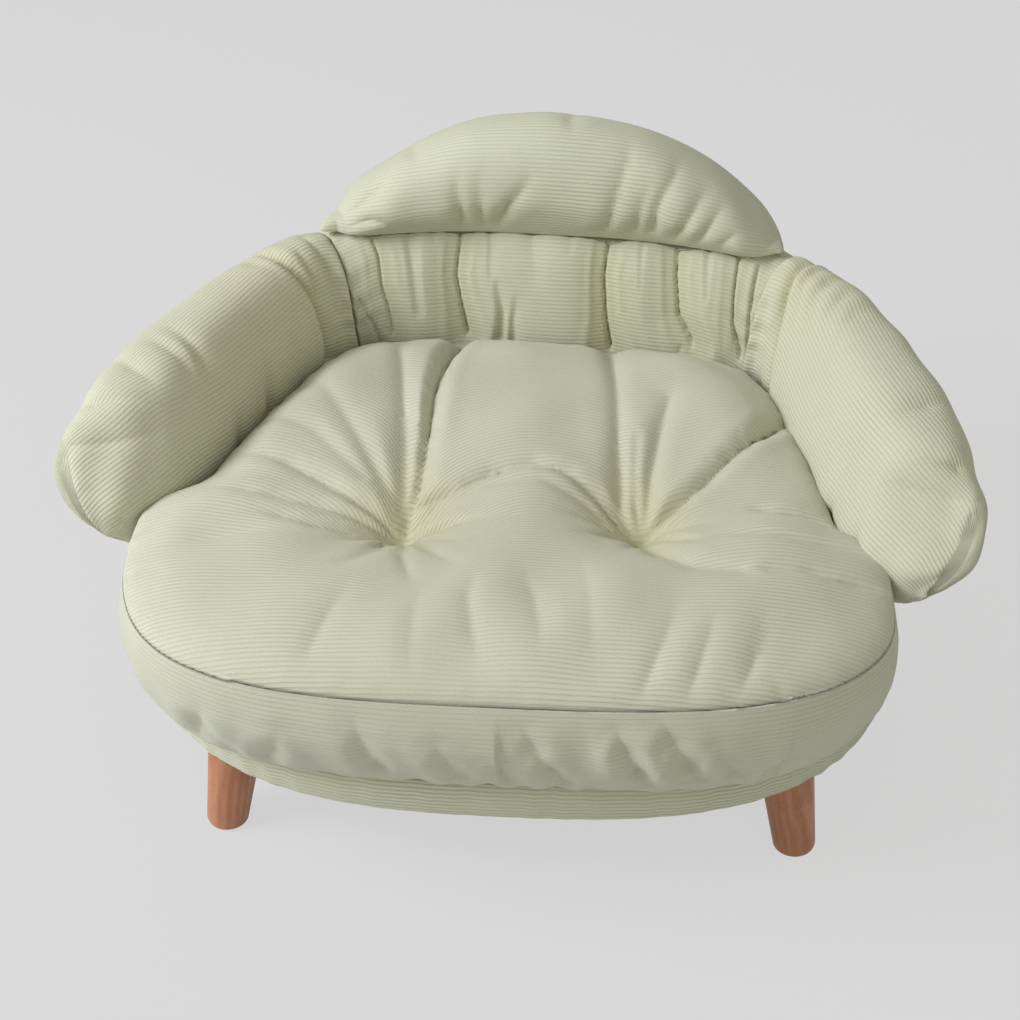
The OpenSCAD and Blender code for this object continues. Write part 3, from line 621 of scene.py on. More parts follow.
SOFT_CREASES = [
    [(-86, -80, 14, 16), (-96, 14, 9, 10), (-108, 100, 6, 9), (-120, 170, 7, 10)],
    [(94, -90, 12, 14), (79, -60, 10, 10), (75, 4, 9, 8), (72, 80, 6, 8), (62, 190, 12, 10)],
    [(98, -80, 10, 12), (101, -22, 8, 7), (107, 28, 7, 7), (115, 75, 4, 8)],
    [(96, -80, 9, 10), (88, -22, 5, 6), (88, 20, 3, 7)],
    [(-215, 118, 3, 12), (-164, 57, 3, 11), (-131, 3, 5, 9), (-95, -60, 9, 12)],
    [(94, -92, 13, 14), (108, -122, 9, 12), (131, -144, 7, 11), (165, -151, 5, 10)],
    [(-80, -80, 8, 10), (-59, -70, 5, 8), (-30, -54, 3, 8), (16, -48, 3, 8), (55, -67, 5, 8),
     (79, -92, 8, 10)],
    [(-128, -164, 0.5, 8), (-112, -150, 3, 6), (-96, -124, 6, 8)],
    [(-66, -186, 0.4, 8), (-76, -156, 3, 6), (-84, -124, 6, 8)],
    [(-36, -160, 0.4, 9), (-56, -138, 3, 6), (-76, -114, 6, 8)],
    [(130, -110, 1, 10), (160, -104, 3, 7), (200, -106, 4, 6), (262, -112, 3, 8)],
    [(-22, -172, 0.5, 10), (-26, -200, 3, 8), (-20, -232, 3, 9), (-14, -258, 0.5, 9)],
    [(12, -168, 0.5, 10), (20, -194, 2.5, 9), (26, -226, 2.5, 10), (28, -252, 0.5, 10)],
    [(52, -150, 0.5, 11), (58, -188, 2, 11), (62, -228, 2, 11), (64, -256, 0.5, 11)],
    [(122, -196, 0.5, 9), (114, -226, 2.5, 8), (104, -256, 3.5, 7), (97, -276, 2, 7)],
    [(148, -200, 0.5, 8), (143, -226, 2, 7), (136, -252, 3, 6), (129, -272, 2, 6)],
    [(182, -196, 0.5, 8), (180, -220, 2, 7), (172, -246, 3, 6), (165, -264, 2, 6)],
    [(-112, -190, 0.5, 9), (-122, -222, 2.5, 8), (-130, -252, 2, 8)],
    [(-60, -190, 0.5, 9), (-62, -228, 2, 9), (-60, -262, 1, 9)],
    [(-260, 40, 1, 9), (-225, 34, 3, 7), (-170, 8, 3, 8), (-120, -40, 4, 9)],
    [(-264, -150, 1, 9), (-231, -135, 3, 8), (-192, -124, 3, 8), (-150, -118, 1, 9)],
]
# Drag folds of the boxing band's front, as x, height, depth and width
BAND_FOLDS = [
    [(20, 190, 1, 6), (26, 172, 4, 6), (36, 150, 6, 6), (44, 130, 5, 6)],
    [(82, 192, 2, 6), (88, 172, 6, 6), (97, 150, 8, 6), (104, 128, 6, 6)],
    [(112, 198, 2, 6), (120, 180, 6, 7), (130, 158, 9, 7), (140, 134, 7, 7)],
    [(150, 176, 1, 6), (158, 158, 4, 6), (166, 136, 6, 6)],
    [(214, 168, 1, 6), (204, 150, 4, 6), (192, 130, 6, 6)],
    [(-40, 176, 1, 6), (-36, 156, 4, 6), (-28, 134, 5, 6)],
    [(-96, 190, 1, 7), (-92, 168, 3, 6), (-84, 140, 5, 6)],
    [(-150, 172, 1, 7), (-158, 150, 4, 7), (-170, 130, 5, 6)],
    [(-206, 178, 1, 7), (-214, 156, 4, 7), (-226, 132, 5, 6)],
    [(-4, 160, 1, 5), (0, 146, 4, 5), (6, 128, 5, 5)],
]
# Where the filling stands highest between the creases: x, y, size and lift
MOUNDS = [(4, -90, 50, 3), (-2, 60, 62, 5), (-160, 95, 60, 9), (150, 85, 55, 7), (175, -100, 45, 5),
          (-165, 25, 50, 3), (-213, 25, 50, 9), (-235, -60, 42, 4), (-125, 160, 34, 5), (-10, 160, 42, 7),
          (118, 140, 40, 7)]


def tuft_depth(plan):
    """A wide dish of 22 mm, exp(-(distance / 78)^1.6), and a pointed pit of 21 mm at each stitch,
    exp(-distance / 19), with small pleats round it. Both are drawn out to the rear."""
    wide, pit = 0, 0
    for x, y in TUFTS:
        off = plan - [x, y]
        away = np.hypot(off[..., 0], off[..., 1] / np.where(off[..., 1] > 0, 1.3, 0.75))
        turn = np.arctan2(off[..., 1], off[..., 0])
        pleats = np.sin(9 * turn + x) + 0.8 * np.sin(14 * turn + y) + 0.5 * np.sin(23 * turn)
        wide = wide + np.exp(-(away / 78) ** 1.6) ** 3
        pit = pit + (21 * np.exp(-away / 19) + 1.6 * pleats * np.exp(-((away - 26) / 20) ** 2))
    return 22 * wide ** (1 / 3), np.maximum(pit, 0)


share = crown_share(top_plan)
folds = np.zeros(share.shape)
for line in SHARP_CREASES:
    folds = np.maximum(folds, fold_depth(top_plan, line, 0.9, 0.10))
for line in SOFT_CREASES:
    folds = np.maximum(folds, fold_depth(top_plan, line, 1.3, 0.0))
puffs = np.minimum(0, sum(np.minimum(fold_depth(top_plan, line, 0.9, 0.10), 0) for line in SHARP_CREASES))
dish, pit = tuft_depth(top_plan)
sink = dish + (pit ** 3 + np.maximum(folds, 0) ** 3) ** (1 / 3) + puffs
edge_fade = 0.3 + 0.55 * smooth((top_plan[..., 1] - 80) / 60)
edge_fade = edge_fade + (1 - edge_fade) * smooth((1 - share) / 0.10)
top_height = crown_height(top_plan, share)
sink = np.minimum(sink, top_height - UPPER_SEAM_Z + 16)
seam_fade = smooth((1 - share) / 0.15)
swell = 1.6 * ripple(top_plan[..., 0], top_plan[..., 1], 4, 120) * seam_fade
for x, y, size, lift in MOUNDS:
    swell = swell + lift * np.exp(-((top_plan - [x, y]) ** 2).sum(-1) / size ** 2) * seam_fade
# Short gathers where the top is eased into the seam
rim_run = np.interp(place_on, np.arange(4 * SPAN), outline_run)
strength = 0.25 + 0.75 * np.clip(ripple(rim_run, 0 * rim_run, 9, 420) + 0.25, 0, 1)
gathers = np.sin(rim_run / 5.2 + 1.6 * np.sin(rim_run / 47))
gathers = gathers + 0.6 * np.sin(rim_run / 3.1 + 2.0 * np.sin(rim_run / 31))
gathers = 1.5 * strength * gathers * np.exp(-(1 - square) / 0.055) * smooth(square * 8 - 6.8)
rim_hold = smooth((1 - square) / 0.03 + smooth((top_plan[..., 1] + 60) / 60))
top_z = top_height + swell - sink * edge_fade * rim_hold + gathers * smooth((1 - square) / 0.03)
top_points = np.concatenate([top_plan, top_z[..., None]], -1)


def top_weave(plan):
    """Flat place of the top's cloth: x along the ribs, and across them the length over the crown from
    the line of the tufts. Beside a tuft the ribs bend down to it, by pull exp(-way / reach)."""
    steps = np.linspace(0, 1, 40)
    line = np.stack([np.repeat(plan[..., None, 0], 40, -1),
                     TUFT_Y + (plan[..., None, 1] - TUFT_Y) * steps], -1)
    height = crown_height(line, crown_share(line))
    run = np.hypot(np.diff(height), (plan[..., None, 1] - TUFT_Y) / 39)
    across = TUFT_Y + np.sign(plan[..., 1] - TUFT_Y) * run.sum(-1)
    for (x, y), (pull, reach) in zip(TUFTS, TUFT_PULLS):
        way, behind = np.maximum(np.abs(plan[..., 0] - x) - 10, 0), plan[..., 1] - y
        fade = np.where(behind > 0, np.exp(-np.abs(behind) / 180), np.exp(-np.abs(behind) / 40))
        across = across + pull * (np.exp(-way / reach) - 0.12) * fade
    return np.stack([plan[..., 0], across], -1)


# The boxing band, from the upper seam out, down and in to the lower seam: ways out and heights
BAND_LEVELS = np.array([
    (0, UPPER_SEAM_Z), (0.5, 204.4), (2.6, 197.5), (5.2, 185.5), (BAND_BULGE, 169.9), (3.4, 156.0),
    (-3.0, 141.0), (-10.5, 127.0), (-17.0, 117.6), (-19.5, LOWER_SEAM_Z), (-24.0, 113.9), (-30.4, FILL_Z)])
BAND_TOP_RUN = 12.0
level_run = lengths(BAND_LEVELS)
band_steps = np.concatenate([
    np.linspace(0, BAND_TOP_RUN, 7)[1:], np.linspace(BAND_TOP_RUN, level_run[-4], 20)[1:],
    np.linspace(level_run[-4], level_run[-1], 8)[1:]])
out = np.interp(band_steps, level_run, BAND_LEVELS[:, 0])[:, None] * np.ones((1, 4 * SPAN))
height = np.interp(band_steps, level_run, BAND_LEVELS[:, 1])[:, None] * np.ones((1, 4 * SPAN))
run = outline_run[None, :] + 0 * out
down = band_steps[:, None] / band_steps[-1] + 0 * out
bow_out = np.sin(np.pi * np.clip(down, 0, 1))
# Drag lines run slantwise down the band from the seam's gathers, and the lower seam is gathered too
x_front = outline[:, 0][None, :] + 0 * out
lean = run + np.sign(x_front) * down * 30
drag_share = 0.35 + 0.65 * np.clip(ripple(run, 0 * run, 21, 380) + 0.3, 0, 1)
band_wave = 2.2 * ripple(lean, down * 60, 12, 150) * bow_out
band_wave += 1.9 * drag_share * np.sin(lean / 7.5 + 1.9 * np.sin(run / 53)) * bow_out * (0.3 + 0.9 * down)
band_wave += (1.5 * drag_share * np.sin(run / 4.6 + 2.2 * np.sin(run / 41))
              * np.exp(-((down - 0.86) / 0.14) ** 2))
band_flat = np.stack([x_front, height], -1)
front_face = (outline[:, 1] < -120)[None, :]
for line in BAND_FOLDS:
    band_wave -= (fold_depth(band_flat, line, 1.1, 0.35) * front_face
                  * smooth(down / 0.2) * smooth((1 - down) / 0.1))
band_plan = outline[None] + (out + band_wave)[..., None] * outline_side[None]
band_points = np.concatenate([band_plan, height[..., None]], -1)

# The rim of the top's grid in the band's order, then everything as one closed skin
grid_index = np.arange((SPAN + 1) ** 2).reshape(SPAN + 1, SPAN + 1)
rim_index = np.concatenate([grid_index[-1, :-1], grid_index[::-1, -1][:-1], grid_index[0, ::-1][:-1],
                            grid_index[:, 0][:-1]])
top_count, ring_count, levels = grid_index.size, 4 * SPAN, len(band_steps)
base_heart = np.append(BASE_HEART, FILL_Z)
base = np.concatenate([base_heart + (band_points[-1] - base_heart) * [s, s, 1] for s in BASE_SHARES])
cushion_points = np.concatenate([top_points.reshape(-1, 3), band_points.reshape(-1, 3), base, [base_heart]])
ring_indices = np.arange((levels + len(BASE_SHARES)) * ring_count).reshape(-1, ring_count)
index_rings = np.concatenate([rim_index[None], top_count + ring_indices])
a, b = index_rings[:-1], index_rings[1:]
side_faces = np.stack([a, b, np.roll(b, -1, 1), np.roll(a, -1, 1)], -1)
seam_faces, base_faces = side_faces[:levels].reshape(-1, 4), side_faces[levels:].reshape(-1, 4)
last_ring = index_rings[-1]
hub_faces = np.stack([last_ring, np.full(ring_count, len(cushion_points) - 1), np.roll(last_ring, -1)], -1)
top_faces = grid_faces(SPAN + 1, SPAN + 1, wrap=False)
weave_top = np.zeros((len(cushion_points), 2))
weave_top[:top_count] = top_weave(top_plan).reshape(-1, 2)
weave_side = np.zeros((len(cushion_points), 2))
weave_side[rim_index] = np.stack([outline_run, 0 * outline_run + RIB_PITCH / 2], -1)
weave_side[top_count:top_count + levels * ring_count] = np.stack(
    [run, RIB_PITCH / 2 - (band_steps[:, None] + 0 * run)], -1).reshape(-1, 2)
cushion_deep = np.zeros(len(cushion_points))
# painted shade in the tufts and creases: the colour darkens with the sink below the crown
cushion_deep[:top_count] = (0.8 * np.clip((sink - 8) / 36, 0, 1)).ravel()
# Painted shade: the cushion's corduroy is coloured a shade darker than the platform's, and its boxing band
# darker still, though all are one cloth
shaded_cushion_cloth = corduroy("cushion_corduroy_painted_shade", (0.58, 0.58, 0.455), (0.40, 0.41, 0.28), depth=0.45, pressed=0.2)
shaded_band_cloth = corduroy("band_corduroy_painted_shade", (0.545, 0.545, 0.43), (0.40, 0.41, 0.295), depth=0.4,
                      seed=5.0, pressed=0.35)
seat_cushion = sewn("tufted_seat_cushion", cushion_points, [
    (top_faces, weave_top), (seam_faces, weave_side), (base_faces, cushion_points[:, :2]),
    (hub_faces, cushion_points[:, :2])],
    shaded_cushion_cloth, "cushion", [(1, shaded_band_cloth)], cushion_deep)
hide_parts("seat_cushion")

# Bottom panel of the cushion

# A padded panel under the cushion, quilted in diamonds, with rubber dots that grip the platform. A
# pocket is pressed into it along the zip.
PANEL_IN, PANEL_LOW, POCKET_TOP, POCKET_X, QUILT = 30.4, 109.3, 112.5, 140.3, 46.0
POCKET_Y, POCKET_HALF, PANEL_ROWS, WALL_HALF = 85.6, 13.3, 150, 0.1
QUILT_DEPTH, EDGE_ROUND, DOT_PITCH, PANEL_FILL = 1.1, 3.0, 7.0, 0.7

panel_edge = outline - PANEL_IN * outline_side
first, final = int(np.argmin(panel_edge[:, 1])), int(np.argmax(panel_edge[:, 1]))
right_edge = np.roll(panel_edge, -first, 0)[:(final - first) % len(panel_edge) + 1]
left_edge = np.roll(panel_edge, -final, 0)[:(first - final) % len(panel_edge) + 1][::-1]
panel_low_y, panel_high_y = panel_edge[first, 1], panel_edge[final, 1]
walls = np.concatenate([
    POCKET_Y + side * (POCKET_HALF + np.array([-WALL_HALF, WALL_HALF])) for side in (-1, 1)])
rows_y = (panel_low_y + panel_high_y) / 2 + (panel_high_y - panel_low_y) / 2 * np.sin(
    np.linspace(-np.pi / 2, np.pi / 2, PANEL_ROWS)) * 0.99999
rows_y = np.sort(np.concatenate([rows_y[np.abs(rows_y[:, None] - walls).min(1) > 0.4], walls]))
chord = np.stack([np.interp(rows_y, edge[:, 1], edge[:, 0]) for edge in (left_edge, right_edge)])
pocket_end = np.minimum(POCKET_X, np.abs(chord).min(0) * 0.6)
side_share = np.sin(np.linspace(0, np.pi / 2, 36))[1:]
inner = np.linspace(-1, 1, 104) * (1 - WALL_HALF / POCKET_X)


def panel_rows(k):
    """The places across one kind of row: even over the pocket's length, and outside it from the pocket's
    end to the panel's edge, closer together at the edge."""
    wall = pocket_end[k] + WALL_HALF
    left = -wall + (chord[0, k] + wall) * side_share
    right = wall + (chord[1, k] - wall) * side_share
    return np.concatenate([left[::-1], [-wall], inner * pocket_end[k], [wall], right])


panel_x = np.array([panel_rows(k) for k in range(len(rows_y))])
panel_y = rows_y[:, None] + 0 * panel_x
edge_way = np.minimum.reduce([panel_x - chord[0][:, None], chord[1][:, None] - panel_x,
                              (panel_y - panel_low_y) * 0.35, (panel_high_y - panel_y) * 0.35])
lines = [np.abs((panel_x + k * panel_y + QUILT / 2) % QUILT - QUILT / 2) / math.sqrt(2) for k in (-1, 1)]
quilting = QUILT_DEPTH * np.exp(-(np.minimum(*lines) / 4.0) ** 1.2)
zip_way = np.maximum(np.abs(panel_x) - POCKET_X, np.abs(panel_y - POCKET_Y) - POCKET_HALF)
quilting = quilting * smooth(zip_way / 6) + 0.5 * np.exp(-((zip_way - 4) / 1.2) ** 2)
edge_round = EDGE_ROUND * (1 - np.sqrt(1 - (1 - np.clip(edge_way / 5, 0, 1)) ** 2))
under = np.where(zip_way < 0, POCKET_TOP, PANEL_LOW + quilting + edge_round)
under_points = np.stack([panel_x, panel_y, under], -1)
over_points = np.stack([panel_x, panel_y, 0 * panel_x + FILL_Z], -1)
panel_points = np.concatenate([under_points.reshape(-1, 3), over_points.reshape(-1, 3)])
rows, columns = panel_x.shape
corner = np.arange(rows * columns).reshape(rows, columns)
rim = np.concatenate([corner[0, :-1], corner[:-1, -1], corner[-1, :0:-1], corner[:0:-1, 0]])
rim_next = np.roll(rim, -1)
over = rows * columns
panel_faces = np.concatenate([
    grid_faces(rows, columns, wrap=False), grid_faces(rows, columns, over, False)[:, ::-1],
    np.stack([rim, rim_next, rim_next + over, rim + over], -1)])


def grip_fabric(name):
    """Grey-green twill, drawn in along its quilting stitches, with a rubber dot every 7 mm."""
    f = Finish(name)
    body = f.place()
    axes = f.axes(body)
    twill = f.math("SINE", f.math("MULTIPLY", f.math("ADD", axes[0], axes[1]), 5200.0))
    threads = f.noise(body, 1400.0, 3.0, 0.6)
    dots = f.math("MULTIPLY", f.math("SINE", f.math("MULTIPLY", axes[0], 2 * math.pi / (DOT_PITCH * MM))),
                  f.math("SINE", f.math("MULTIPLY", axes[1], 2 * math.pi / (DOT_PITCH * MM))))
    dot = f.graded(dots, 0.50, 0.62, 0.0, 1.0)
    color = f.mix(threads, (0.225, 0.235, 0.195), (0.315, 0.325, 0.275))
    color = f.mix(f.math("MULTIPLY", f.noise(body, 14.0, 2.0), 0.35), color, (0.20, 0.20, 0.17))
    color = f.mix(dot, color, (0.42, 0.43, 0.38))
    cloth = f.math("MULTIPLY_ADD", twill, 0.15, f.math("MULTIPLY", threads, 0.4))
    height = f.math("MULTIPLY_ADD", dot, 1.6, cloth)
    bump = f.bumps(height, 0.8, 0.0004)
    rough = f.graded(dot, 0.0, 1.0, 0.88, 0.55)
    return f.join(Base_Color=color, Roughness=rough, Normal=bump)


def turn_faces_out(mesh, merge_within=0.0):
    """Joins the points of a closed mesh that lie together, and points its faces outwards."""
    work = bmesh.new()
    work.from_mesh(mesh)
    if merge_within:
        bmesh.ops.remove_doubles(work, verts=work.verts, dist=merge_within)
    bmesh.ops.recalc_face_normals(work, faces=work.faces)
    work.to_mesh(mesh)
    work.free()


bottom_panel = sewn("quilted_bottom_panel", panel_points, [(panel_faces, panel_points[:, :2])],
                    grip_fabric("quilted_grip_twill"), "cushion")
turn_faces_out(bottom_panel.data)
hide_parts("cushion_bottom_panel")

# Seat zip

# A closed-end zip in the bottom panel's pocket, for taking out the filling: a woven tape, a row of
# cast teeth that lock from both sides, an end stop at each end, and a cast slider.
ZIP_L, ZIP_W, TAPE_T, TAPE_Z, ROW_T, STOP, STOP_T, TOOTH_PITCH = 280.0, 26.0, 0.8, 111.7, 0.5, 5.0, 1.0, 2.5
TAPE_ROWS, TAPE_COLUMNS, STITCH_PITCH, STITCH_WAY = 141, 27, 3.0, 9.8
along_tape, across_tape = np.meshgrid(np.linspace(-ZIP_L / 2, ZIP_L / 2, TAPE_ROWS),
                                      np.linspace(-ZIP_W / 2, ZIP_W / 2, TAPE_COLUMNS), indexing="ij")
tape_z = TAPE_Z + TAPE_T / 2 + 0.05 * np.sin(along_tape / 9) * np.abs(across_tape) / ZIP_W
tape_points = np.stack([along_tape, across_tape + POCKET_Y, tape_z], -1).reshape(-1, 3)


def woven_tape(name):
    """Polyester zip tape: a fine herringbone, with a line of stitches along both edges."""
    f = Finish(name)
    body = f.place()
    axes = f.axes(body)
    across = f.math("ABSOLUTE", f.math("SUBTRACT", axes[1], POCKET_Y * MM))
    slant = f.math("ADD", f.math("PINGPONG", across, 0.003), axes[0])
    herring = f.math("SINE", f.math("MULTIPLY", slant, 7000.0))
    threads = f.noise(body, 2200.0, 2.0)
    stitch_wave = f.math("SINE", f.math("MULTIPLY", axes[0], 2 * math.pi / (STITCH_PITCH * MM)))
    stitch = f.math("MULTIPLY", f.math("COMPARE", across, STITCH_WAY * MM, 0.0005),
                    f.math("GREATER_THAN", stitch_wave, -0.2))
    weave = f.math("MULTIPLY_ADD", herring, 0.3, threads)
    color = f.mix(weave, (0.36, 0.375, 0.255), (0.56, 0.565, 0.43))
    color = f.mix(stitch, color, (0.62, 0.62, 0.50))
    bump = f.bumps(f.math("ADD", weave, stitch), 0.7, 0.0003)
    return f.join(Base_Color=color, Roughness=0.8, Normal=bump)


tape_faces = grid_faces(TAPE_ROWS, TAPE_COLUMNS, wrap=False)
tape = sewn("zip_tape_woven", tape_points, [(tape_faces, tape_points[:, :2])],
            woven_tape("zip_tape_herringbone"), "cushion")
tape_depth = tape.modifiers.new("tape_thickness", "SOLIDIFY")
tape_depth.thickness, tape_depth.offset = (TAPE_T - 0.1) * MM, 0.0
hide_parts("seat_zip_tape")

# One tooth is a six-sided head with a waist, drawn as a profile in plan and carried to its thickness
tooth_plan = np.array([
    (-0.95, -1.25), (0.95, -1.25), (0.62, -0.35), (0.85, 0.35), (0, 0.6), (-0.85, 0.35), (-0.62, -0.35)])
TOOTH_NARROW, TOOTH_CORNERS = 0.62, len(tooth_plan)
teeth_count = int((ZIP_L - 2 * STOP) / TOOTH_PITCH)
tooth_index = np.arange(teeth_count * 2)
tooth_x = -ZIP_L / 2 + STOP + (tooth_index + 0.5) * TOOTH_PITCH / 2
flip = np.where(tooth_index % 2, -1.0, 1.0)
plans = tooth_plan[None] * np.stack([TOOTH_NARROW + 0 * flip, flip], -1)[:, None]
plans = plans + np.stack([tooth_x, POCKET_Y + 0 * flip], -1)[:, None]
stop_plan = STOP * np.array([
    (-0.5, -0.5), (0, -0.5), (0.5, -0.5), (0.5, 0.5), (0, 0.5), (-0.5, 0.5), (-0.5, 0)])
stop_x = ZIP_L / 2 - STOP / 2
stops = stop_plan[None] + np.array([[-stop_x, POCKET_Y], [stop_x, POCKET_Y]])[:, None]
drops = np.concatenate([np.full(len(plans), ROW_T), [STOP_T, STOP_T]])
plans = np.concatenate([plans, stops])
heart = plans.mean(1, keepdims=True)
levels_down = np.array([0.0, 0.75, 1.0])
narrow = np.array([1.0, 1.0, 0.72])
tooth_rings = heart[:, None] + (plans - heart)[:, None] * narrow[None, :, None, None]
tooth_z = TAPE_Z - drops[:, None, None] * levels_down[None, :, None] + np.zeros((1, 1, TOOTH_CORNERS))
tooth_points = np.concatenate([tooth_rings, tooth_z[..., None]], -1)
walls_of = grid_faces(len(levels_down), TOOTH_CORNERS)
# each end is two four-cornered faces and a triangle, whose last corner is given twice
ends_of = np.array([
    [0, 1, 2, 6], [2, 3, 5, 6], [3, 4, 5, 5], [14, 20, 16, 15], [16, 20, 19, 17], [17, 19, 18, 18]])
start_at = (np.arange(len(plans)) * len(levels_down) * TOOTH_CORNERS)[:, None, None]
tooth_faces = (np.concatenate([walls_of, ends_of])[None] + start_at).reshape(-1, 4)
teeth_mesh = bpy.data.meshes.new("zip_teeth_cast")
teeth_mesh.from_pydata((tooth_points.reshape(-1, 3) * MM).tolist(), [],
                       [list(dict.fromkeys(face)) for face in tooth_faces.tolist()])
teeth_mesh.update()
teeth = put_in_scene("zip_teeth_cast", teeth_mesh)
turn_faces_out(teeth_mesh)
teeth_mesh.materials.append(plated_steel("zip_teeth_metal", (0.66, 0.65, 0.62), 0.34))
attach(teeth, "cushion")
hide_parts("seat_zip_teeth")
finish_node(plated_steel("zip_slider_metal", (0.70, 0.70, 0.68), 0.26), "seat_zip_slider")

# Lumbar roll, arms and head roll

# Four bolsters of the same corduroy, stuffed with fibre and sewn end to end: the lumbar roll and the
# two arms stand on the platform round the seat, and the head roll is sewn along the lumbar roll's top.
# Upright tucks draw the lumbar roll in, and the slack of the head roll folds up from its seam.
SECTION_POWER, FOOT_SHARE, SINK_SHARE, TOP_Z, ARM_Z, ARM_LEAN = 2.3, 0.28, 0.05, 109.0, 298.0, 14.0
HEAD_T, HEAD_H, HEAD_REACH, BOLSTER_FILL, MERGE_WITHIN = 86.0, 99.0, 1.96, 0.75, 1e-6
SEAM_SINK, SEAM_DRAW, FOOT_RISE, TAIL_FROM = 8.0, 0.13, 0.44, 0.84
HEAD_LEFT_END, HEAD_RIGHT_END, NECK_SHARE, JOINT_SLANT = 1.13, 1.06, 0.12, 0.13
# How far each arm's end leans forward and its top back, and how deep and how high up the seat presses it
TIP_LEAN = {-1: (24.0, 30.0), 1: (27.0, 40.0)}
SEAT_PRESS = {-1: (4.0, 226.0), 1: (11.0, 216.0)}


def section(angle, half_t, low, high, foot=FOOT_SHARE):
    """Ways out and heights round a bolster. The angle runs from 0, away from the seat, over the top at
    90 and down the face at the seat at 180 to the foot at 270. The section is a superellipse that
    narrows to its foot by the share 'foot'."""
    s = superellipse(1, 1, SECTION_POWER, angle)
    z = (low + high) / 2 + (high - low) / 2 * s[..., 1]
    return half_t * s[..., 0] * (1 - foot * smooth(-s[..., 1])), z


def set_on_path(step, out, z, side=1, forward=0.0):
    """Points by their ways out from the shell's path and forward along it, turned with the shell."""
    across = shell_side(step)
    ahead = np.stack([across[..., 1], -across[..., 0]], -1)
    q = shell_path(step) + out[..., None] * across + (forward + 0 * out)[..., None] * ahead
    p = turned(q * [side, 1], SHELL_TURN) + [0, PLATFORM_Y]
    return np.concatenate([p, z[..., None]], -1)


def drawn_in(way, side):
    """How far the seam between two bolsters draws both of them in, at a way from it in steps: softly
    over half a step, and sharply at the stitches, more so on the left."""
    return 0.6 * (1 - smooth(way / 0.45)) + np.where(side < 0, 0.28, 0.12) * np.exp(-way / 0.05)


def arm_form(step, angle, side):
    """An arm: from the seam with the lumbar roll it thickens and runs level. At its front its foot rises
    off the platform and its top droops. With c from 0 to 1 over its last 38 hundredths, its height
    closes as 0.5 + 0.5 sqrt(1 - c^3) and its thickness as 0.09 + 0.91 sqrt(1 - c^2.3). The end turns
    outward with height and leans forward, its top less so, to a seam that slopes back."""
    way, share = step - SEAM_STEP, (step - SEAM_STEP) / (TIP_STEP - SEAM_STEP)
    arm_h, closing = ARM_Z - TOP_Z, np.clip((share - 0.62) / 0.38, 0, 1)
    low = TOP_Z - arm_h * SINK_SHARE + arm_h * FOOT_RISE * smooth((share - 0.52) * 2)
    crest = (JOINT_Z + (ARM_Z - JOINT_Z) * smooth(share * 3) - SEAM_SINK * drawn_in(way, side)
             - arm_h * (0.05 * smooth((share - 0.4) / 0.6) + 0.04 * smooth((share - 0.75) / 0.25)))
    tall, heart_z = 0.50 + 0.50 * np.sqrt(1 - closing ** 3.0), low + 0.46 * (crest - low)
    low, crest = heart_z - (heart_z - low) * tall, heart_z + (crest - heart_z) * tall
    thick = 0.09 + 0.91 * np.sqrt(1 - closing ** 2.3)
    turn = 1 - (1 - np.clip((share - 0.4) / 0.6, 0, 1) ** 2.4) ** 0.8
    at_neck = smooth(way / 0.25) * (1 - smooth((way - 0.45) / 0.4))
    neck = 1 - NECK_SHARE * at_neck * smooth(-np.cos(angle) * 1.5)
    half_t = arm_thickness(step) / 2
    ending = smooth((share - 0.6) / 0.4)
    out, z = section(angle, half_t * neck * (1 - SEAM_DRAW * drawn_in(way, side)) * thick, low, crest,
                     FOOT_SHARE + 0.15 * ending)
    at_seat = smooth(0.5 - out / half_t)
    front = smooth((share - 0.5) / 0.4)
    out = out * np.where(out > 0, 1 - 0.17 * front, 1)
    out = out + ARM_LEAN * smooth(share * 1.5) * (1 - front) * (z - TOP_Z) / arm_h * (1 - at_seat)
    press, press_z = SEAT_PRESS[side]
    out = out - press * at_seat * smooth(share * 4) * np.exp(-((z - press_z) / 38) ** 2)
    out = out + half_t * turn * (0.88 * smooth((z - 170) / 84) - 0.08)
    reach, back = TIP_LEAN[side]
    forward = reach * ending - back * np.clip((z - 215) / 45, 0, 1) ** 1.6 * ending ** 2
    slant = JOINT_SLANT * np.sin(angle) * np.exp(-way / 0.5)
    return set_on_path(step + slant, out, np.maximum(z, TOP_Z), side, forward)


def lumbar_form(step, angle, side=1):
    """The lumbar roll: an even section, flat on top, drawn in and down to the seams at its two ends."""
    way, h, side = SEAM_STEP - np.abs(step), JOINT_Z - TOP_Z, np.sign(step)
    out, z = section(angle, ROLL_T / 2 * (1 - SEAM_DRAW * drawn_in(way, side)), TOP_Z - h * SINK_SHARE,
                     JOINT_Z + h * SINK_SHARE * smooth(way / 0.45) - SEAM_SINK * drawn_in(way, side))
    slant = side * JOINT_SLANT * np.sin(angle) * np.exp(-way / 0.5)
    return set_on_path(step + slant, out, np.clip(z, TOP_Z, JOINT_Z))


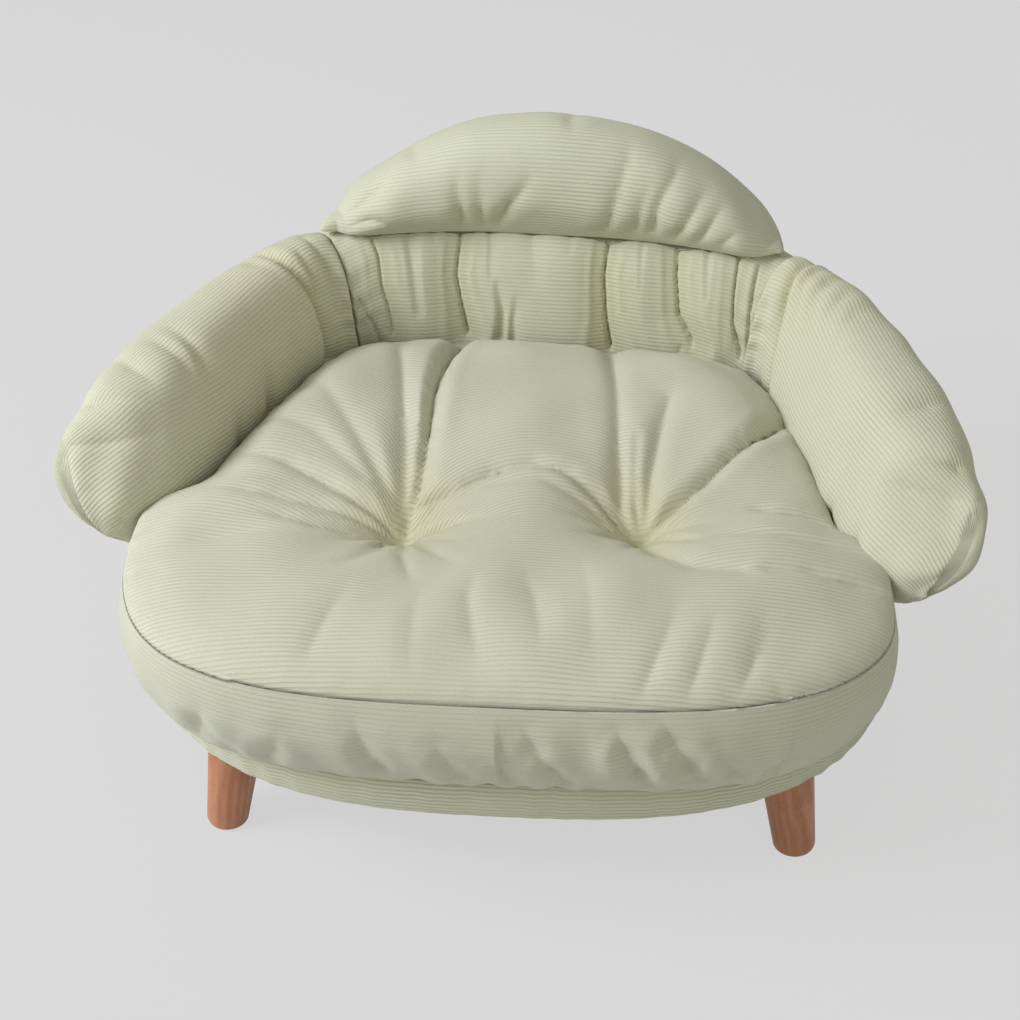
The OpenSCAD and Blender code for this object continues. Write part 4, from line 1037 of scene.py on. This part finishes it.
def head_form(share, angle, side=1):
    """The head roll: its crest rises as 1 - |share|^p, with p 1.75 on the left and 2.45 on the right,
    a little to the left, and it is thickest in the middle. It runs out in a low tail at each end, and
    is pressed flat on the lumbar roll."""
    fall = 1.75 + 0.7 * smooth(share + 0.5)
    rise = np.maximum(1 - np.abs(share + 0.06 * (1 - share ** 2)) ** fall, 0)
    end = np.where(share < 0, HEAD_LEFT_END, HEAD_RIGHT_END)
    tail = np.sqrt(1 - np.clip((np.abs(share) - TAIL_FROM) / (end - TAIL_FROM), 0, 0.999) ** 2)
    fat = (0.28 + 0.72 * np.maximum(1 - np.abs(share / 1.04) ** 4, 0) ** 0.65) * tail
    out, z = section(angle, HEAD_T / 2 * fat, JOINT_Z - HEAD_H * 0.13 * tail,
                     JOINT_Z + HEAD_H * ((0.16 - 0.05 * smooth(share)) * tail + 0.83 * rise))
    return set_on_path(share * HEAD_REACH, out, np.clip(z, JOINT_Z, JOINT_Z + HEAD_H), side)


def pressed(points, depths):
    """A closed grid of rings moved inward along its own normals by the depths."""
    around = np.roll(points, -1, 1) - np.roll(points, 1, 1)
    along = np.gradient(points, axis=0)
    normal = np.cross(around, along)
    normal /= np.maximum(np.linalg.norm(normal, axis=-1, keepdims=True), 1e-9)
    outward = points - points.mean(1, keepdims=True)
    normal *= np.sign((normal * outward).sum((0, 1, 2)))
    return points - normal * depths[..., None]


def bolster(name, node, form, steps, count, creases, material, seed, side=1, oblique=None,
            weave_from=165.0, weave_level=0.0, seams=()):
    """One bolster, as a grid of rings closed at both ends. A crease's rows are a step, an angle, a depth
    and a width, and it lies on the form where these say. Along a seam, given as a ring, a dip and a
    height of gathers, the cloth is drawn in and puckers. Ribs run along the bolster: across them the
    cloth's flat place is the length round the section, from a line at the angle 'weave_from' that turns
    aslant by the degrees of 'oblique'."""
    angles = np.radians(-90 + np.arange(count) * 360.0 / count)
    step, angle = np.meshgrid(steps, angles, indexing="ij")
    base = form(step, angle, side)
    depths = np.zeros(step.shape)
    swells = np.zeros(step.shape)
    for power, lip, lines in creases:
        for line in lines:
            line = np.array(line, float)
            # the line's places between its rows are worked out on the form itself
            fine = np.linspace(0, len(line) - 1, (len(line) - 1) * 4 + 1)
            line = np.stack([np.interp(fine, np.arange(len(line)), line[:, m]) for m in range(4)], -1)
            spots = form(line[:, 0], np.radians(line[:, 1]), side)
            fold = fold_depth(base, np.concatenate([spots, line[:, 2:]], 1), power, lip)
            depths = np.maximum(depths, fold)
            swells = np.minimum(swells, fold)
    along, round_run = lengths(base, 0), lengths(base, 1)
    for ring, dip, height in seams:
        way = np.abs(along - along[ring])
        edge = round_run[ring][None, :]
        pucker = np.sin(edge / 4.6 + 1.9 * np.sin(edge / 24))
        pucker = pucker + 0.6 * np.sin(edge / 2.9 + 1.6 * np.sin(edge / 17))
        depths = (depths + dip * np.exp(-way / 1.8)
                  + height * pucker * np.exp(-way / 13) * (1 - np.exp(-way / 2)))
    soft = smooth((base[..., 2] - base[..., 2].min()) / 25)
    points = pressed(base, (depths + swells) * soft - ripple(along, round_run, seed, 110) * soft)
    points[..., 2] = np.maximum(points[..., 2], base[..., 2].min())
    start = int(np.argmin(np.abs(np.degrees(angles) - weave_from)))
    aslant = np.interp(steps, *oblique) if oblique else 0 * steps
    drift = np.gradient(along[:, start]) * np.tan(np.radians(aslant))
    level = base[:, start:start + 1, 2] * weave_level - np.cumsum(drift)[:, None]
    across = level - (round_run - round_run[:, start:start + 1])
    rows, columns = step.shape
    weave = np.stack([along, across], -1)
    # the section's last column repeats its first with its own place in the cloth
    points = np.concatenate([points, points[:, :1]], 1)
    whole_way = 2 * round_run[:, -1:] - round_run[:, -2:-1]
    last_across = level - (whole_way - round_run[:, start:start + 1])
    weave = np.concatenate([weave, np.stack([along[:, :1], last_across], -1)], 1)
    flat_points, flat_weave = points.reshape(-1, 3), weave.reshape(-1, 2)
    faces = grid_faces(rows, columns + 1, wrap=False)
    # each end is filled by rungs between the two halves of its ring, all but a sliver at its crest
    j = np.arange(columns // 2)
    for first, order in ((0, 1), ((rows - 1) * (columns + 1), -1)):
        rungs = np.stack([first + j, first + columns - j, first + columns - j - 1, first + j + 1], -1)
        faces = np.concatenate([faces, rungs[:, ::order]])
    if side > 0:
        faces = faces[:, ::-1]
    # painted shade: darker and yellower colour in the tucks and folds, by their depth
    deep = np.clip(depths / 26, 0, 1)
    deep = np.concatenate([deep, deep[:, :1]], 1).ravel()
    piece = sewn(name, flat_points, [(faces, flat_weave)], material, "sofa", deep=deep)
    turn_faces_out(piece.data, MERGE_WITHIN)
    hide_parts(node)


LUMBAR_TUCKS = [
    [(-1.66, 112, 8.1, 6), (-1.63, 123, 10.8, 5), (-1.58, 135, 12.2, 5), (-1.58, 152, 12.2, 5),
     (-1.53, 162, 10.8, 6), (-1.50, 176, 9.5, 8)],
    [(-1.97, 138, 1, 5), (-1.92, 148, 4, 5), (-1.85, 160, 7, 6), (-1.74, 171, 9, 7), (-1.68, 182, 9, 8)],
    [(-0.79, 112, 12.2, 6), (-0.79, 127, 13.5, 5), (-0.83, 147, 14.9, 4.5), (-0.79, 162, 16.2, 5),
     (-0.74, 178, 16.2, 7)],
    [(0.45, 110, 9.5, 7), (0.43, 123, 14.9, 5), (0.41, 144, 17.6, 4.5), (0.44, 166, 18.9, 5),
     (0.49, 182, 18.9, 8)],
    [(1.02, 110, 9.5, 7), (1.03, 123, 13.5, 5), (1.05, 140, 16.2, 4.5), (1.11, 160, 16.2, 5),
     (1.28, 174, 13.5, 8)],
    [(1.60, 112, 9.5, 6), (1.63, 122, 12.2, 5), (1.67, 144, 13.5, 4.5), (1.72, 158, 13.5, 5),
     (1.90, 172, 12.2, 7)],
    [(1.84, 114, 6.8, 5), (1.87, 130, 9.5, 5), (1.92, 150, 10.8, 5), (2.0, 168, 10.8, 6)],
]
LUMBAR_WRINKLES = [
    [(-0.47, 150, 2, 6), (-0.42, 165, 5, 6), (-0.44, 180, 7, 8)],
    [(-0.30, 158, 1, 6), (-0.33, 170, 4, 6), (-0.33, 182, 6, 8)],
    [(-1.28, 112, 4, 8), (-1.25, 135, 4, 8), (-1.22, 165, 3, 9)],
    [(-1.05, 112, 4, 7), (-1.02, 128, 3, 8), (-1.0, 150, 2, 9)],
    [(-0.55, 112, 4, 7), (-0.52, 130, 3, 8), (-0.53, 150, 2, 8)],
    [(-0.20, 112, 3, 8), (-0.18, 128, 2, 9), (-0.15, 145, 1, 9)],
    [(0.12, 112, 3, 8), (0.14, 128, 2, 9), (0.14, 150, 1, 9)],
    [(0.72, 112, 3, 7), (0.72, 128, 3, 7), (0.74, 150, 2, 8)],
    [(1.30, 112, 4, 6), (1.33, 128, 4, 7), (1.38, 150, 3, 8)],
    [(1.15, 168, 3, 5), (1.17, 178, 6, 7)],
]
# Round each tuck the roll is drawn in over a wide hollow too, so that it stands full between them
LUMBAR_HOLLOWS = [[(step, angle, depth * 0.5, 21) for step, angle, depth, _ in line] for line in LUMBAR_TUCKS]
HEAD_FOLDS = [
    [(-0.41, 214, 8, 6), (-0.39, 204, 7, 5.5), (-0.40, 185, 5, 6), (-0.41, 166, 3, 7), (-0.40, 145, 1, 9)],
    [(-0.30, 214, 7, 6), (-0.30, 206, 5, 5.5), (-0.31, 188, 4, 6), (-0.31, 168, 2, 8), (-0.29, 150, 1, 10)],
    [(-0.24, 216, 8, 6), (-0.23, 208, 7, 5), (-0.19, 190, 6, 5.5), (-0.12, 170, 3, 7), (-0.09, 155, 1, 9)],
    [(0.20, 214, 7, 6), (0.22, 204, 6, 5.5), (0.24, 188, 5, 6), (0.26, 170, 4, 7), (0.30, 134, 3, 8),
     (0.30, 112, 1, 9)],
    [(0.42, 206, 7, 6), (0.43, 194, 6, 5.5), (0.45, 170, 5, 6), (0.51, 135, 4, 7), (0.52, 112, 1, 9)],
    [(0.33, 210, 6, 6), (0.35, 196, 5, 5.5), (0.37, 175, 3, 7), (0.40, 150, 1, 9)],
    [(0.53, 208, 7, 5.5), (0.57, 190, 6, 5.5), (0.62, 160, 5, 6), (0.66, 130, 2, 8)],
    [(0.64, 206, 7, 5.5), (0.68, 185, 6, 5.5), (0.72, 160, 4, 6), (0.75, 135, 2, 8)],
    [(0.76, 206, 7, 5.5), (0.79, 185, 5, 5.5), (0.84, 160, 3, 7)],
    [(-1.02, 165, 2, 4), (-0.95, 160, 5, 4), (-0.88, 166, 7, 5), (-0.80, 182, 7, 5.5), (-0.72, 200, 4, 6)],
    [(-0.99, 120, 1, 4), (-0.92, 122, 4, 5), (-0.84, 120, 4, 6), (-0.74, 118, 1, 8)],
    [(0.06, 60, 1, 8), (0.05, 90, 4, 7), (0.06, 115, 1, 9)],
    [(-0.62, 60, 1, 8), (-0.62, 90, 3, 7), (-0.60, 115, 1, 9)],
]
# Both arms' seams with the lumbar roll draw the cloth into gathers; the left arm also bends in a deep
# fold a hand's width from the seam
LEFT_FOLDS = [
    [(2.95, 66, 3, 6), (2.90, 86, 9, 5), (2.88, 110, 13, 4.5), (2.80, 130, 15, 4.5), (2.71, 146, 15, 4.5),
     (2.67, 163, 14, 5), (2.69, 178, 13, 7)],
    [(2.62, 100, 1, 6), (2.64, 118, 4, 5), (2.62, 135, 6, 4.5), (2.66, 150, 7, 4.5)],
    [(2.35, 85, 3, 6), (2.32, 110, 5, 5), (2.28, 128, 5, 5), (2.24, 150, 3, 6)],
]
LEFT_WRINKLES = [
    [(4.50, 84, 1, 8), (4.60, 105, 4, 7), (4.70, 125, 4, 8), (4.80, 140, 1, 10)],
    [(4.78, 80, 1, 8), (4.88, 100, 3.5, 7), (4.95, 118, 3, 8), (5.05, 132, 1, 10)],
    [(5.25, 70, 2, 8), (5.40, 90, 3, 7), (5.50, 108, 2, 8)],
    [(6.10, 50, 1, 6), (6.20, 75, 4, 5), (6.15, 95, 3, 6), (6.05, 115, 1, 8)],
    [(3.86, 150, 1, 7), (3.90, 165, 5, 6), (3.92, 178, 7, 7)],
    [(4.6, 160, 1, 8), (4.62, 172, 4, 7), (4.64, 182, 5, 8)],
    [(3.1, 60, 1, 8), (3.12, 85, 3, 7), (3.10, 110, 1, 9)],
]
RIGHT_FOLDS = [
    [(2.30, 66, 4, 6), (2.30, 90, 10, 5), (2.34, 112, 14, 4.5), (2.42, 130, 15, 4.5), (2.58, 146, 15, 4.5),
     (2.72, 160, 14, 5), (2.84, 174, 13, 7)],
]
RIGHT_WRINKLES = [
    [(2.50, 70, 1, 7), (2.52, 90, 5, 5), (2.56, 105, 5, 5), (2.70, 125, 4, 6), (2.85, 140, 1, 8)],
    [(2.75, 70, 1, 7), (2.80, 90, 4, 5), (2.88, 106, 4, 5.5), (3.02, 124, 3, 6), (3.15, 138, 1, 8)],
    [(3.05, 76, 1, 7), (3.12, 92, 3.5, 5.5), (3.22, 106, 3.5, 6), (3.38, 120, 1, 8)],
    [(3.36, 80, 1, 7), (3.44, 94, 2.5, 6), (3.55, 108, 1, 8)],
    [(6.30, 60, 1, 6), (6.38, 76, 5, 5), (6.36, 92, 3, 6), (6.25, 108, 1, 8)],
    [(5.0, 66, 1, 7), (5.14, 84, 3, 6), (5.2, 100, 1, 8)],
    [(5.3, 172, 1, 6), (5.33, 182, 5, 6), (5.33, 192, 6, 8)],
    [(6.1, 176, 1, 6), (6.12, 190, 6, 6), (6.12, 205, 7, 8)],
]
# Painted light: the arms' corduroy is coloured a shade lighter than the same cloth on the platform and the
# cushion
lit_shell_cloth = corduroy("arm_corduroy_painted_light", (0.62, 0.62, 0.468), (0.43, 0.445, 0.298), seed=1.5, pressed=0.08)
back_cloth = corduroy("back_corduroy", (0.60, 0.605, 0.466), (0.42, 0.435, 0.295), depth=0.5, seed=2.5,
                      pressed=0.2)
arm_steps = np.concatenate([
    SEAM_STEP + 0.003 + 0.2 * np.linspace(0, 1, 12)[:-1] ** 1.5, np.linspace(2.2, 5.6, 96)[:-1],
    5.6 + 1.4 * np.sin(np.linspace(0, np.pi / 2, 56))])
lumbar_steps = np.linspace(-1, 1, 260)
lumbar_steps = SEAM_STEP * (lumbar_steps - 0.022 * np.sin(2 * np.pi * lumbar_steps) * np.abs(lumbar_steps))
head_run = np.linspace(-1, 1, 190)
head_shares = np.sin(head_run * np.pi / 2) * np.where(head_run < 0, HEAD_LEFT_END, HEAD_RIGHT_END) * 0.9995
bolster("lumbar_bolster", "lumbar_roll", lumbar_form, lumbar_steps, 200,
        [(0.85, 0.16, LUMBAR_TUCKS), (1.3, 0.0, LUMBAR_WRINKLES), (1.5, 0.0, LUMBAR_HOLLOWS)], back_cloth, 31,
        seams=[(0, 0.7, 1.2), (-1, 0.2, 1.3)])
bolster("head_bolster", "head_roll", head_form, head_shares, 160, [(0.95, 0.14, HEAD_FOLDS)], back_cloth, 32,
        weave_from=180.0, weave_level=0.5)
bolster("left_arm_bolster", "left_arm", arm_form, arm_steps, 200,
        [(0.9, 0.12, LEFT_FOLDS), (1.4, 0.05, LEFT_WRINKLES)], lit_shell_cloth, 33, -1,
        ([3.6, 4.3, 5.0, 5.6, 6.2, 7.0], [-1, 4, 10, 9, 0, -2]), 115.0, seams=[(0, 0.7, 1.2), (-1, 0.4, 0.7)])
bolster("right_arm_bolster", "right_arm", arm_form, arm_steps, 200,
        [(0.9, 0.12, RIGHT_FOLDS), (1.4, 0.05, RIGHT_WRINKLES)], lit_shell_cloth, 34, 1,
        ([3.4, 4.0, 5.0, 5.6, 6.2, 7.0], [-7, 0, 6, 5, -3, -5]), 115.0, seams=[(0, 0.2, 1.3), (-1, 0.5, 0.9)])

# Floor and light

# A plain pale floor, one wide soft lamp to the left and in front, a weaker one to the right, and an
# even room light.
floor_mesh = bpy.data.meshes.new("studio_floor")
FLOOR_REACH, FLOOR_EVENED = 8.0, 0.86
floor_mesh.from_pydata([(-FLOOR_REACH, -FLOOR_REACH, 0), (FLOOR_REACH, -FLOOR_REACH, 0),
                        (FLOOR_REACH, FLOOR_REACH, 0), (-FLOOR_REACH, FLOOR_REACH, 0)], [], [(0, 1, 2, 3)])
floor = put_in_scene("studio_floor", floor_mesh)
paper = Finish("floor_paper")
grain = paper.noise(paper.place(), 60.0, 3.0)
paper.join(Base_Color=paper.mix(grain, (0.68, 0.68, 0.68), (0.70, 0.70, 0.70)), Roughness=0.95)
pale = paper.node("ShaderNodeEmission", Color=(0.70, 0.70, 0.70, 1.0), Strength=1.0)
rays = paper.node("ShaderNodeLightPath").outputs
mirrored = paper.math("MAXIMUM", rays["Is Glossy Ray"], rays["Is Transmission Ray"])
seen = paper.math("MAXIMUM", rays["Is Camera Ray"], mirrored)
evened = paper.node("ShaderNodeMixShader", Fac=paper.math("MULTIPLY", seen, FLOOR_EVENED))
paper.tree.links.new(paper.shader.outputs[0], evened.inputs[1])
paper.tree.links.new(pale.outputs[0], evened.inputs[2])
paper.tree.links.new(evened.outputs[0], paper.tree.nodes["Material Output"].inputs["Surface"])
floor_mesh.materials.append(paper.material)


def lamp(name, where, aim, width, power, color):
    """A square area lamp at a place, facing another, in metres and watts."""
    data = bpy.data.lights.new(name, "AREA")
    data.size, data.energy, data.color = width, power, color
    back = np.array(where, float) - np.array(aim, float)
    back /= np.linalg.norm(back)
    across = np.cross([0, 0, 1], back)
    across /= np.linalg.norm(across)
    stand(put_in_scene(name, data), across, np.cross(back, across), back, where)


lamp("window_light", (-2.2, -0.7, 1.85), (0, 0, 0.2), 1.3, 72.0, (0.98, 0.99, 1.06))
lamp("fill_light", (1.3, -1.9, 1.9), (0, 0, 0.2), 1.8, 7.0, (1.0, 0.99, 0.94))
room = bpy.data.worlds.new("room")
bpy.context.scene.world = room
room.use_nodes = True
room.node_tree.nodes["Background"].inputs["Color"].default_value = (1.0, 0.995, 0.91, 1)
room.node_tree.nodes["Background"].inputs["Strength"].default_value = 0.42
bpy.context.scene.view_settings.view_transform = "Standard"
